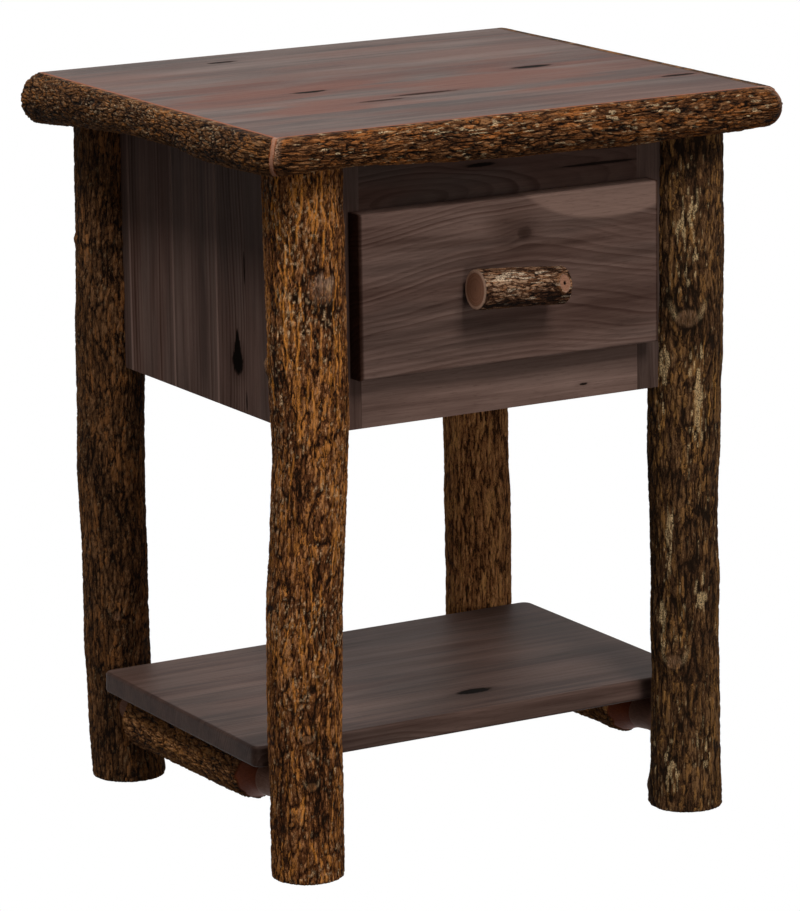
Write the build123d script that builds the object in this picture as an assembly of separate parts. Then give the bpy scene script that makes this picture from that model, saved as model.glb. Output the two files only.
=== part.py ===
from build123d import *
import os

# A one-drawer hickory table with a lower shelf. Millimetres, +Z up.
# Origin: on the floor, under the centre of the outline. The drawer opens towards -Y.

# ---- overall ----
height = 711.0
board_width = 518.0            # top board without its log edging
board_depth = 477.0
board_thickness = 25.0
log_reach = 25.0               # how far the log edging stands out of the board
corner_radius_left = 44.0      # rounding of the front left corner, seen from above
corner_radius_right = 30.0     # rounding of the front right corner
back_end_radius = 7.0          # rounding of the side logs' back ends, seen from above
top_board_widths = [96.0, 122.0, 76.0]           # front to back, the next board fills the rest
top_back_widths = [43.0]       # boards behind the one that fills the rest

# ---- legs ----
leg_radius = 34.0
leg_side_setback = 49.0        # leg centre inside the board's side edge
leg_front_setback = 51.5       # leg centre behind the board's front edge
leg_back_setback = 36.5        # leg centre ahead of the board's back edge
leg_foot_round = 2.5

# ---- case ----
case_height = 263.0
case_front_lead = 7.2          # case front ahead of the front legs' centres
case_back_lead = 7.2           # case back behind the back legs' centres
case_side_lead = 0.5           # case side outside the legs' centres
panel_thickness = 19.0
back_thickness = 12.0
stile_width = 59.5
bottom_rail_height = 60.0
top_rail_height = 68.0
side_board_widths = [89.0, 90.0, 55.4]           # front to back, the board ahead of them fills the rest
joint_chamfer = 0.8            # eased edge along each visible glue joint

# ---- shelf and stretchers ----
shelf_side_lead = 3.0          # shelf end outside the legs
shelf_top = 120.5
shelf_thickness = 20.5
shelf_leg_gap = 1.5
shelf_board_widths = [104.0, 112.0]              # front to back, the last board fills the rest
shelf_corner_radius = 10.0
shelf_edge_round = 3.0
stretcher_radius = 26.0
stretcher_seat = 2.3           # depth of the flat planed on the stretcher under the shelf
stretcher_bark_front = 64.0    # bark ends this far behind the front leg
stretcher_bark_back = 26.0     # bark ends this far ahead of the back leg
stretcher_front_dome = 38.0
stretcher_back_dome = 16.0
tenon_radius = 16.0
tenon_depth = 26.0             # tenon inside the leg
tenon_fit = 0.1

# ---- drawer ----
drawer_overlap = 11.5          # drawer front over the face frame, left and right
drawer_overlap_top = 9.0
drawer_overlap_bottom = 11.0
drawer_front_thickness = 19.5
drawer_front_gap = 0.5         # closed drawer front to face frame
drawer_front_round = 3.0
box_thickness = 12.7
box_head_room = 23.0           # drawer box below the top rail
box_back_gap = 40.0            # drawer box ahead of the back panel
box_rise = 12.0                # drawer box above the bottom rail
drawer_bottom_thickness = 6.0
groove_depth = 6.0
groove_rise = 10.0             # groove above the sides' lower edge
groove_fit = 0.2
box_edge_round = 1.5

# ---- twig handle ----
knob_length = 95.0
knob_radius = 19.3             # at its left end
knob_thin_radius = 17.8        # at its right end
knob_shift = -6.0              # twig's middle from the stem, to the right
knob_drop = 2.5                # twig's middle below the stem
knob_stand_off = 3.6           # twig to drawer front
knob_tilt = 3.6                # degrees, right end down
knob_end_round = 1.5
stem_radius = 9.0
stem_seat = 3.0                # stem let into the twig
stub_radius = 8.0              # cut side branch near the right end
stub_rise = 2.5
stub_inset = 15.5
stub_way = (0.3, -0.9, 0.25)

# ---- drawer slides ----
slide_depth = 12.7
slide_height = 45.0
slide_sheet = 1.3
slide_play = 0.5               # between neighbouring members
slide_setback = 1.0            # slide behind the face frame's front
slide_end_gap = 0.5            # slide short of the drawer box's back
block_height = 64.0            # wood block between case side and slide

# ---- fasteners ----
screw_fit = 0.1
lag_radius = 3.0
lag_head_radius = 7.0
lag_head_height = 4.0
lag_grip = 20.0                # thread inside the leg
lag_inset = 20.0               # screw from the leg's centre, towards the case's middle
lag_low_rise = 35.0            # lower screw above the case bottom
lag_high_drop = 48.0           # upper screw below the case top
wood_screw_radius = 2.0
wood_screw_head_radius = 4.0
wood_screw_head_height = 2.5
wood_screw_bite = 13.0
slide_screw_radius = 1.8
slide_screw_head_radius = 3.4
slide_screw_head_height = 1.0
slide_screw_bite = 9.0
slide_screw_inset = 40.0
knob_screw_radius = 2.1
knob_screw_bite = 16.0
knob_screw_head_radius = 4.6
knob_screw_head_height = 2.6
front_screw_side_inset = 40.0
front_screw_low_inset = 35.0
front_screw_high_inset = 20.0
cleat_size = 19.0
cleat_screw_inset = 50.0
shelf_screw_inset = 40.0
shelf_screw_sink = 8.0         # shelf screw heads above the stretchers' underside

# ---- natural shapes: share of the length, sideways shift, extra radius ----
leg_forms = {
    "leg_front_left": [(0.0, -2.6, 0.0), (0.2, -3.0, 0.2), (0.4, 0.8, 1.2),
                       (0.6, 5.5, 2.0), (0.8, 4.6, 2.2), (1.0, 3.0, 3.0)],
    "leg_front_right": [(0.0, 0.4, 1.2), (0.2, 0.6, -0.8), (0.4, -1.0, -0.6),
                        (0.6, -0.6, 1.6), (0.8, 1.2, 2.0), (1.0, 0.8, 1.2)],
    "leg_back_left": [(0.0, 2.2, 0.6), (0.2, -2.2, -1.8), (0.4, -2.8, -1.0),
                      (0.6, -1.4, -0.4), (0.8, 0.6, -0.8), (1.0, 2.4, -0.8)],
    "leg_back_right": [(0.0, 1.0, 0.8), (0.2, -1.0, -0.4), (0.4, -1.8, -0.4),
                       (0.6, -1.2, -0.2), (0.8, 0.6, 0.4), (1.0, 1.2, 0.6)],
}
# ---- log edging: share of the run, height, reach short of log_reach ----
front_log_form = [(0.0, 37.0, 0.0), (0.15, 33.0, 1.5), (0.4, 40.0, 0.5),
                  (0.65, 41.0, 0.0), (0.85, 39.5, 0.5), (1.0, 40.0, 0.0)]
left_log_form = [(0.0, 34.0, 0.0), (0.22, 37.0, 0.8), (0.45, 32.5, 2.5),
                 (0.65, 34.0, 2.0), (0.85, 43.5, 0.5), (1.0, 51.0, 0.0)]
right_log_form = [(0.0, 40.0, 0.0), (0.25, 38.0, 1.0), (0.5, 35.0, 2.0),
                  (0.75, 37.0, 1.0), (1.0, 42.0, 0.0)]
log_rim = 0.2                  # half the log's height plus this gives its radius
trim_depth = 100.0             # depth of the shapes that trim the logs, deeper than any log

# ---- places that follow from the sizes above ----
board_front = log_reach - (board_depth + log_reach) / 2
board_back = board_front + board_depth
board_half = board_width / 2
board_under = height - board_thickness
leg_x = board_half - leg_side_setback
leg_front_y = board_front + leg_front_setback
leg_back_y = board_back - leg_back_setback
case_half_width = leg_x + case_side_lead
case_front = leg_front_y - case_front_lead
case_back = leg_back_y + case_back_lead
case_bottom = board_under - case_height
frame_back = case_front + panel_thickness
side_inner = case_half_width - panel_thickness
back_front = case_back - back_thickness
opening_half = case_half_width - stile_width
opening_bottom = case_bottom + bottom_rail_height
opening_top = board_under - top_rail_height
shelf_half = leg_x + leg_radius + shelf_side_lead
shelf_bottom = shelf_top - shelf_thickness
shelf_front = leg_front_y + leg_radius + shelf_leg_gap
shelf_back = leg_back_y - leg_radius - shelf_leg_gap
stretcher_z = shelf_bottom + stretcher_seat - stretcher_radius
front_face = case_front - drawer_front_gap - drawer_front_thickness
front_inside = case_front - drawer_front_gap
front_half = opening_half + drawer_overlap
front_bottom = opening_bottom - drawer_overlap_bottom
front_top = opening_top + drawer_overlap_top
front_middle = (front_bottom + front_top) / 2
box_half = opening_half - slide_depth
box_bottom = opening_bottom + box_rise
box_top = opening_top - box_head_room
box_back = back_front - box_back_gap
slide_front = case_front + slide_setback
slide_back = box_back - slide_end_gap
slide_z = (box_bottom + box_top) / 2
knob_y = front_face - knob_stand_off - knob_radius


def block(x0, x1, y0, y1, z0, z1):
    """Box between two corners."""
    return Pos((x0 + x1) / 2, (y0 + y1) / 2, (z0 + z1) / 2) * Box(x1 - x0, y1 - y0, z1 - z0)


def rod(start, direction, length, radius):
    """Round bar from a point along a direction."""
    return extrude(Plane(origin=start, z_dir=direction) * Circle(radius), length)


def screw(start, direction, length, radius, head_radius, head_height):
    """Screw with its head's top at start, pointing along direction."""
    shank = rod(start, direction, length, radius)
    return shank + rod(start, direction, head_height, head_radius)


def save(name, shape):
    """Write one node."""
    shape.label = name
    export_step(shape, f"parts/{name}.step")


def spans(low, high, widths, back_widths=()):
    """Edges of glued boards: widths start at low, back_widths end at high, one board fills the rest."""
    edges = [low]
    for width in widths:
        edges.append(edges[-1] + width)
    back_edges = [high]
    for width in reversed(back_widths):
        back_edges.insert(0, back_edges[0] - width)
    edges += back_edges
    return list(zip(edges[:-1], edges[1:]))


# ---- legs ----
def pole(form, length, radius):
    """Slightly bent round pole standing on the floor, with a rounded foot."""
    rings = [Pos(shift, 0, share * length) * Circle(radius + extra) for share, shift, extra in form]
    body = loft(rings)
    foot = body.edges().sort_by(Axis.Z)[0]
    return fillet(foot, leg_foot_round)


def case_block():
    """Outline of the case, used to notch the legs."""
    return block(-case_half_width, case_half_width, case_front, case_back, case_bottom, height)


def lag_places():
    """Start point and direction of each screw that holds a leg to the case side."""
    places = []
    for side in (-1, 1):
        for y in (leg_front_y + lag_inset, leg_back_y - lag_inset):
            for z in (case_bottom + lag_low_rise, board_under - lag_high_drop):
                start = (side * (side_inner - lag_head_height), y, z)
                places.append((start, (side, 0, 0)))
    return places


lag_length = lag_head_height + panel_thickness + lag_grip


def lag_screws():
    """All leg screws."""
    return [screw(start, way, lag_length, lag_radius, lag_head_radius, lag_head_height)
            for start, way in lag_places()]


def lag_holes():
    """Bores of the leg screws."""
    return [rod(start, way, lag_length + screw_fit, lag_radius + screw_fit) for start, way in lag_places()]


def leg(name, x, y, inward_y):
    """Leg with its case notch, screw bores and stretcher mortise."""
    body = Pos(x, y, 0) * pole(leg_forms[name], board_under, leg_radius)
    mortise_start = (x, y + inward_y * (leg_radius - tenon_depth - tenon_fit), stretcher_z)
    mortise = rod(mortise_start, (0, inward_y, 0), 2 * leg_radius, tenon_radius + tenon_fit)
    return cut(body, [case_block(), mortise] + lag_holes())


def build_legs():
    """Four legs."""
    save("leg_front_left", leg("leg_front_left", -leg_x, leg_front_y, 1))
    save("leg_front_right", leg("leg_front_right", leg_x, leg_front_y, 1))
    save("leg_back_left", leg("leg_back_left", -leg_x, leg_back_y, -1))
    save("leg_back_right", leg("leg_back_right", leg_x, leg_back_y, -1))
    save("leg_screws", Compound(children=lag_screws()))


# ---- top ----
def half_log(form, origin, run, outward, length):
    """Log edging: rings along the run, planed flush with the top and against the board."""
    rings = []
    for share, log_height, short in form:
        ring_radius = log_height / 2 + log_rim
        centre = origin + run * (share * length)
        centre = centre + outward * (log_reach - short - ring_radius) - Vector(0, 0, log_height - ring_radius)
        rings.append(Plane(origin=centre, z_dir=run) * Circle(ring_radius))
    return loft(rings)


def outline_prism():
    """Outline of the finished top, with its rounded corners, as a tall prism."""
    reach = board_half + log_reach
    prism = block(-reach, reach, board_front - log_reach, board_back, height - trim_depth, height)
    for pick, radius in ((0, corner_radius_left), (-1, corner_radius_right)):
        front = prism.edges().filter_by(Axis.Z).group_by(Axis.Y)[0].sort_by(Axis.X)
        prism = fillet(front[pick], radius)
    back = prism.edges().filter_by(Axis.Z).group_by(Axis.Y)[-1]
    return fillet(back, back_end_radius)


def mitre_wedge(side):
    """Space ahead of the mitre plane at one front corner."""
    far = board_width
    corner = (side * board_half, board_front)
    outer = (side * (board_half + far), board_front - far)
    far_side = [(-side * far, board_front - far), (-side * far, board_front)]
    face = make_face(Polyline(corner, outer, *far_side, corner))
    return extrude(Pos(0, 0, height - trim_depth) * face, 2 * trim_depth)


def cleat_screw_places():
    """Screws that hold the top to its cleats, pointing up."""
    low = board_under - cleat_size
    return [(side * (side_inner - cleat_size / 2), y, low) for side in (-1, 1)
            for y in (frame_back + cleat_screw_inset, back_front - cleat_screw_inset)]


def wood_screws(places, way, length):
    """Small wood screws of one length."""
    return [screw(place, way, length, wood_screw_radius, wood_screw_head_radius, wood_screw_head_height)
            for place in places]


def wood_screw_holes(places, way, length):
    """Bores and head seats of those screws."""
    shanks = [rod(place, way, length + screw_fit, wood_screw_radius + screw_fit) for place in places]
    seats = [rod(place, way, wood_screw_head_height + screw_fit, wood_screw_head_radius + screw_fit)
             for place in places]
    return shanks + seats


def cut(body, tools):
    """Body with every tool taken away."""
    for tool in tools:
        body = body - tool
    return body


def build_top_boards():
    """Glued boards of the top, bored from below for the cleat screws."""
    holes = wood_screw_holes(cleat_screw_places(), (0, 0, 1), cleat_size + wood_screw_bite)
    edges = spans(board_front, board_back, top_board_widths, top_back_widths)
    for index, (y0, y1) in enumerate(edges, 1):
        board = block(-board_half, board_half, y0, y1, board_under, height)
        save(f"top_board_{index}", cut(board, holes))


def build_edge_logs():
    """Three half logs, mitred at the front corners."""
    prism = outline_prism()
    board = block(-board_half, board_half, board_front, board_back, 0, height)
    wedges = [mitre_wedge(-1), mitre_wedge(1)]
    run = board_width + 2 * log_reach
    start = Vector(-run / 2, board_front, height)
    front = half_log(front_log_form, start, Vector(1, 0, 0), Vector(0, -1, 0), run)
    save("edge_log_front", (front & prism & wedges[0] & wedges[1]) - board)
    run = board_depth + log_reach
    for name, side, form, wedge in (("edge_log_left", -1, left_log_form, wedges[0]),
                                    ("edge_log_right", 1, right_log_form, wedges[1])):
        start = Vector(side * board_half, board_front - log_reach, height)
        log = half_log(form, start, Vector(0, 1, 0), Vector(side, 0, 0), run)
        save(name, (log & prism) - wedge - board)


# ---- case ----
def eased_board(x0, x1, y0, y1, z0, z1, side):
    """Upright board with its two outer long edges eased."""
    board = block(x0, x1, y0, y1, z0, z1)
    outer = board.edges().filter_by(Axis.Z).group_by(Axis.X)[-1 if side > 0 else 0]
    return chamfer(outer, joint_chamfer)


def build_sides():
    """Case sides of glued upright boards, drilled for the leg screws."""
    holes = lag_holes()
    for name, side in (("left", -1), ("right", 1)):
        x0, x1 = sorted((side * side_inner, side * case_half_width))
        edges = spans(frame_back, case_back, [], side_board_widths)
        for index, (y0, y1) in enumerate(edges, 1):
            board = eased_board(x0, x1, y0, y1, case_bottom, board_under, side)
            save(f"side_{name}_board_{index}", cut(board, holes))


def build_frame():
    """Face frame: two stiles and two rails, and the back panel."""
    for name, side in (("stile_left", -1), ("stile_right", 1)):
        x0, x1 = sorted((side * opening_half, side * case_half_width))
        save(name, block(x0, x1, case_front, frame_back, case_bottom, board_under))
    save("rail_top", block(-opening_half, opening_half, case_front, frame_back, opening_top, board_under))
    save("rail_bottom", block(-opening_half, opening_half, case_front, frame_back,
                              case_bottom, opening_bottom))
    save("back_panel", block(-side_inner, side_inner, back_front, case_back, case_bottom, board_under))


def build_slide_blocks():
    """Wooden blocks that bring the slides out to the drawer opening."""
    for name, side in (("slide_block_left", -1), ("slide_block_right", 1)):
        x0, x1 = sorted((side * opening_half, side * side_inner))
        body = block(x0, x1, frame_back, back_front, slide_z - block_height / 2, slide_z + block_height / 2)
        save(name, cut(body, case_slide_bores()))


def build_cleats():
    """Cleats under the top, and the screws that hold the top down."""
    length = cleat_size + wood_screw_bite
    up = (0, 0, 1)
    holes = wood_screw_holes(cleat_screw_places(), up, length)
    for name, side in (("top_cleat_left", -1), ("top_cleat_right", 1)):
        x0, x1 = sorted((side * (side_inner - cleat_size), side * side_inner))
        body = block(x0, x1, frame_back, back_front, board_under - cleat_size, board_under)
        save(name, cut(body, holes))
    save("top_screws", Compound(children=wood_screws(cleat_screw_places(), up, length)))


# ---- shelf and stretchers ----
def shelf_screw_places():
    """Screws up through the stretchers into the shelf."""
    low = stretcher_z - stretcher_radius + shelf_screw_sink
    return [(side * leg_x, y, low) for side in (-1, 1)
            for y in (shelf_front + stretcher_bark_front + shelf_screw_inset, shelf_back - shelf_screw_inset)]


shelf_screw_length = shelf_bottom - shelf_screw_places()[0][2] + wood_screw_bite


def build_shelf():
    """Shelf of glued boards with rounded outer corners, and its screws."""
    half = shelf_half
    plank = block(-half, half, shelf_front, shelf_back, shelf_bottom, shelf_top)
    plank = fillet(plank.edges().filter_by(Axis.Z), shelf_corner_radius)
    rims = plank.faces().sort_by(Axis.Z)[-1].edges() + plank.faces().sort_by(Axis.Z)[0].edges()
    plank = fillet(rims, shelf_edge_round)
    up = (0, 0, 1)
    plank = cut(plank, wood_screw_holes(shelf_screw_places(), up, shelf_screw_length))
    for index, (y0, y1) in enumerate(spans(shelf_front, shelf_back, shelf_board_widths), 1):
        save(f"shelf_board_{index}", plank & block(-half, half, y0, y1, shelf_bottom, shelf_top))
    save("shelf_screws", Compound(children=wood_screws(shelf_screw_places(), up, shelf_screw_length)))


def stretcher_profile(front, back):
    """Half outline of a stretcher: tenon, peeled dome, barked middle, dome and tenon."""
    bark_front = front + stretcher_bark_front
    bark_back = back - stretcher_bark_back
    dome_front = bark_front - stretcher_front_dome
    dome_back = bark_back + stretcher_back_dome
    start = front - tenon_depth
    end = back + tenon_depth
    lines = [
        Line((0, start), (tenon_radius, start)),
        Line((tenon_radius, start), (tenon_radius, dome_front)),
        Spline((tenon_radius, dome_front), (stretcher_radius, bark_front), tangents=[(1, 0.9), (0, 1)]),
        Line((stretcher_radius, bark_front), (stretcher_radius, bark_back)),
        Spline((stretcher_radius, bark_back), (tenon_radius, dome_back), tangents=[(0, 1), (-1, 0.4)]),
        Line((tenon_radius, dome_back), (tenon_radius, end)),
        Line((tenon_radius, end), (0, end)),
        Line((0, end), (0, start)),
    ]
    return make_face(Curve() + lines)


def build_stretchers():
    """Two barked poles under the shelf, with round tenons in the legs."""
    front = leg_front_y + leg_radius
    back = leg_back_y - leg_radius
    face = stretcher_profile(front, back)
    body = revolve(face, Axis.Y)
    body = Pos(0, 0, stretcher_z) * body
    body = body - block(-leg_radius, leg_radius, front, back, shelf_bottom, shelf_top)
    holes = wood_screw_holes(shelf_screw_places(), (0, 0, 1), shelf_screw_length)
    holes += [rod(place, (0, 0, -1), stretcher_radius, wood_screw_head_radius + screw_fit)
              for place in shelf_screw_places()]
    save("stretcher_left", cut(Pos(-leg_x, 0, 0) * body, holes))
    save("stretcher_right", cut(Pos(leg_x, 0, 0) * body, holes))


# ---- drawer ----
def bottom_groove(fit):
    """Space taken by the drawer bottom, wider by fit."""
    half = box_half - box_thickness + groove_depth
    low = box_bottom + groove_rise
    return block(-half - fit, half + fit, front_inside + box_thickness - groove_depth - fit,
                 box_back - box_thickness + groove_depth + fit, low, low + drawer_bottom_thickness + fit)


def front_screw_places():
    """Screws from the drawer box into the drawer front, pointing to -Y."""
    y = front_inside + box_thickness + wood_screw_head_height
    x = box_half - front_screw_side_inset
    return [(side * x, y, z) for side in (-1, 1)
            for z in (box_bottom + front_screw_low_inset, box_top - front_screw_high_inset)]


front_screw_length = wood_screw_head_height + box_thickness + wood_screw_bite


def front_screw_holes():
    """Bores of the drawer front screws."""
    return [rod(place, (0, -1, 0), front_screw_length + screw_fit, wood_screw_radius + screw_fit)
            for place in front_screw_places()]


knob_screw_start = (0, front_inside + box_thickness + knob_screw_head_height, front_middle)
knob_screw_length = knob_screw_start[1] - front_face + knob_stand_off + knob_screw_bite


def knob_screw_hole():
    """Bore of the screw that runs from inside the drawer into the twig."""
    return rod(knob_screw_start, (0, -1, 0), knob_screw_length + screw_fit, knob_screw_radius + screw_fit)


def build_drawer_front():
    """Overlay front with eased face edges."""
    panel = block(-front_half, front_half, front_face, front_inside, front_bottom, front_top)
    panel = fillet(panel.faces().sort_by(Axis.Y)[0].edges(), drawer_front_round)
    save("drawer_front", cut(panel, front_screw_holes() + [knob_screw_hole()]))


def build_drawer_box():
    """Drawer box: two sides, a front, a back and a bottom in grooves."""
    groove = bottom_groove(groove_fit)
    inner = box_half - box_thickness
    front_back = front_inside + box_thickness
    holes = front_screw_holes() + [knob_screw_hole()] + drawer_slide_bores()
    boards = {
        "drawer_side_left": block(-box_half, -inner, front_inside, box_back, box_bottom, box_top),
        "drawer_side_right": block(inner, box_half, front_inside, box_back, box_bottom, box_top),
        "drawer_box_front": block(-inner, inner, front_inside, front_back, box_bottom, box_top),
        "drawer_box_back": block(-inner, inner, box_back - box_thickness, box_back, box_bottom, box_top),
    }
    for name, board in boards.items():
        rim = board.faces().sort_by(Axis.Z)[-1].edges().filter_by(Axis.Y if "side" in name else Axis.X)
        save(name, cut(fillet(rim, box_edge_round), [groove] + holes))
    save("drawer_bottom", bottom_groove(0))
    way = (0, -1, 0)
    save("drawer_front_screws", Compound(children=wood_screws(front_screw_places(), way, front_screw_length)))
    save("knob_screw", screw(knob_screw_start, way, knob_screw_length, knob_screw_radius,
                             knob_screw_head_radius, knob_screw_head_height))


# ---- twig handle ----
def build_knob():
    """Barked twig on a short stem, with a cut side branch."""
    twig = Rot(0, 90, 0) * Cone(knob_radius, knob_thin_radius, knob_length)
    twig = fillet(twig.edges().filter_by(GeomType.CIRCLE), knob_end_round)
    stub_x = knob_length / 2 - stub_inset
    twig = twig + rod((stub_x, 0, 0), stub_way, knob_radius + stub_rise, stub_radius)
    twig = Rot(0, knob_tilt, 0) * twig
    twig = Pos(knob_shift, knob_y, front_middle - knob_drop) * twig
    stem_length = knob_stand_off + stem_seat
    stem = rod((0, front_face, front_middle), (0, -1, 0), stem_length, stem_radius)
    hole = knob_screw_hole()
    seat = rod((0, front_face, front_middle), (0, -1, 0), stem_length, stem_radius + screw_fit)
    save("knob", twig - seat - hole)
    save("knob_stem", stem - hole)


# ---- slides ----
def channel(x_web, x_open, half_height, y0, y1):
    """Sheet channel: upright web at x_web, flanges reaching to x_open."""
    way = 1 if x_open > x_web else -1
    low, high = sorted((x_web, x_open))
    outer = block(low, high, y0, y1, slide_z - half_height, slide_z + half_height)
    hollow_low, hollow_high = sorted((x_web + way * slide_sheet, x_open + way))
    inner = half_height - slide_sheet
    return outer - block(hollow_low, hollow_high, y0 - 1, y1 + 1, slide_z - inner, slide_z + inner)


def slide_screw_places(side, on_drawer):
    """Head tops and direction of the screws that hold one slide member."""
    head = slide_sheet + slide_screw_head_height
    x = side * (box_half + head) if on_drawer else side * (opening_half - head)
    way = (-side, 0, 0) if on_drawer else (side, 0, 0)
    return [(x, y, slide_z) for y in (slide_front + slide_screw_inset, slide_back - slide_screw_inset)], way


slide_screw_length = slide_screw_head_height + slide_sheet + slide_screw_bite


def slide_screws(side, on_drawer):
    """Screws of one slide member."""
    places, way = slide_screw_places(side, on_drawer)
    return [screw(place, way, slide_screw_length, slide_screw_radius, slide_screw_head_radius,
                  slide_screw_head_height) for place in places]


def slide_bores(side, on_drawer):
    """Bores of those screws."""
    places, way = slide_screw_places(side, on_drawer)
    length = slide_screw_length + screw_fit
    return [rod(place, way, length, slide_screw_radius + screw_fit) for place in places]


def case_slide_bores():
    """Bores in the slide blocks and case members."""
    return slide_bores(-1, False) + slide_bores(1, False)


def drawer_slide_bores():
    """Bores in the drawer sides and drawer members."""
    return slide_bores(-1, True) + slide_bores(1, True)


def build_slides():
    """Three-member slide on each side: case member, middle member and drawer member."""
    step = slide_sheet + slide_play
    screws_case = []
    screws_drawer = []
    for name, side in (("left", -1), ("right", 1)):
        wall = side * opening_half
        box = side * box_half
        half = slide_height / 2
        outer = channel(wall, box + side * slide_play, half, slide_front, slide_back)
        gap = slide_screw_head_height + slide_play
        middle = channel(wall - side * (slide_sheet + gap), box + side * (step + gap), half - step,
                         slide_front, slide_back)
        inner = channel(box, wall - side * (slide_sheet + gap + step), half - 2 * step,
                        slide_front, slide_back)
        save(f"slide_case_{name}", cut(outer, slide_bores(side, False)))
        save(f"slide_middle_{name}", middle)
        save(f"slide_drawer_{name}", cut(inner, slide_bores(side, True)))
        screws_case += slide_screws(side, False)
        screws_drawer += slide_screws(side, True)
    save("slide_screws_case", Compound(children=screws_case))
    save("slide_screws_drawer", Compound(children=screws_drawer))


os.makedirs("parts", exist_ok=True)
build_legs()
build_top_boards()
build_edge_logs()
build_sides()
build_frame()
build_slide_blocks()
build_cleats()
build_shelf()
build_stretchers()
build_drawer_front()
build_drawer_box()
build_knob()
build_slides()
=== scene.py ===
import bpy
import numpy as np
from mathutils import Matrix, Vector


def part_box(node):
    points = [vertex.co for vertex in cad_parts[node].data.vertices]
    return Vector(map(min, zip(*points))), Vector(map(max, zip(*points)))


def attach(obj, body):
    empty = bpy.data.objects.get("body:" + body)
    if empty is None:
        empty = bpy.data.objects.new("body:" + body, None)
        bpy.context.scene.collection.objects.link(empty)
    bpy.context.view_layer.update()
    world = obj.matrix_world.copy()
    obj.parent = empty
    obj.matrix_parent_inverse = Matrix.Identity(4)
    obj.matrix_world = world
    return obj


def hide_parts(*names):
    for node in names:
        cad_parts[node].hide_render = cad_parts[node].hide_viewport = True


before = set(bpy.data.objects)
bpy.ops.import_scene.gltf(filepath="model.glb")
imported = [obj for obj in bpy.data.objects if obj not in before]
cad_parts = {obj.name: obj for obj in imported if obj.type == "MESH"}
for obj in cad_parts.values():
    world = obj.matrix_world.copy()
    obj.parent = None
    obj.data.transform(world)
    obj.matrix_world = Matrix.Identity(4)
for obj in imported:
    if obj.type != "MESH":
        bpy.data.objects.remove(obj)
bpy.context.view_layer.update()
mm = 0.001
print("frame loaded")


# numbers on surfaces

def ease(value, low, high):
    # 0 below low, 1 above high and an S curve between
    t = np.clip((value - low) / (high - low), 0.0, 1.0)
    return t * t * (3.0 - 2.0 * t)


def easedCurve(at, stations, reach, column=1):
    # straight lines between stations (place, value, ...), averaged over a span so that they round off
    table = np.array(stations, float)
    steps = np.linspace(-reach, reach, 11)
    return np.mean([np.interp(at + step, table[:, 0], table[:, column]) for step in steps], axis=0)


def turnGap(around, place):
    # turn from place to around, -1/2 to 1/2
    return (around - place + 0.5) % 1.0 - 0.5


def cloud(around, along, cells, seed):
    # value noise: random numbers on a lattice that wraps round the log, blended with quintic steps
    lattice = np.random.default_rng(seed).random((cells[1] + 2, cells[0]))
    a = (around % 1.0) * cells[0]
    b = np.clip(along, 0.0, 1.0) * cells[1]
    ia, ib = np.floor(a).astype(int) % cells[0], np.floor(b).astype(int)
    fa, fb = a - np.floor(a), b - np.floor(b)
    fa, fb = (f * f * f * (f * (f * 6.0 - 15.0) + 10.0) for f in (fa, fb))
    nextA = (ia + 1) % cells[0]
    lower = lattice[ib, ia] * (1 - fa) + lattice[ib, nextA] * fa
    upper = lattice[ib + 1, ia] * (1 - fa) + lattice[ib + 1, nextA] * fa
    return lower * (1 - fb) + upper * fb


def plateGap(around, along, cells, seed):
    # distance to the second nearest jittered point less that to the nearest: 0 in the cracks between plates
    jitter = np.random.default_rng(seed).random((cells[1] + 5, cells[0], 2))
    a = (around % 1.0) * cells[0]
    b = np.clip(along, 0.0, 1.0) * cells[1] + 2.0
    ia, ib = np.floor(a).astype(int), np.floor(b).astype(int)
    nearest = np.full(a.shape, 9.0)
    second = nearest.copy()
    for da in (-1, 0, 1):
        for db in (-1, 0, 1):
            spot = jitter[ib + db, (ia + da) % cells[0]]
            distance = np.hypot(ia + da + spot[..., 0] - a, ib + db + spot[..., 1] - b)
            closer = distance < nearest
            second = np.where(closer, nearest, np.minimum(second, distance))
            nearest = np.where(closer, distance, nearest)
    return second - nearest


def patchMask(around, along, patches):
    # sum of soft ovals: place round the log (turns), place along (share), half widths and strength
    mask = np.zeros_like(around)
    for place, share, wide, tall, strength in patches:
        gap = turnGap(around, place)
        mask = mask + strength * np.exp(-(gap / wide) ** 2 - ((along - share) / tall) ** 2)
    return mask


def drawStreak(mask, around, along, girth, path, wide, strength):
    # one wavy line of inner bark through (turns, share) points, widest in its middle
    turns, shares = path.T
    first, last = np.searchsorted(along[:, 0], (shares.min(), shares.max()))
    if last - first < 2:
        return
    rows = slice(first, last)
    share = along[rows, :1]
    t = (share - shares.min()) / (shares.max() - shares.min())
    width = wide * (0.35 + 0.65 * np.sin(np.pi * t) ** 0.7) / girth
    gap = turnGap(around[rows], np.interp(share, shares, turns))
    mask[rows] = np.maximum(mask[rows], strength * np.exp(-(gap / width) ** 4))


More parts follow.
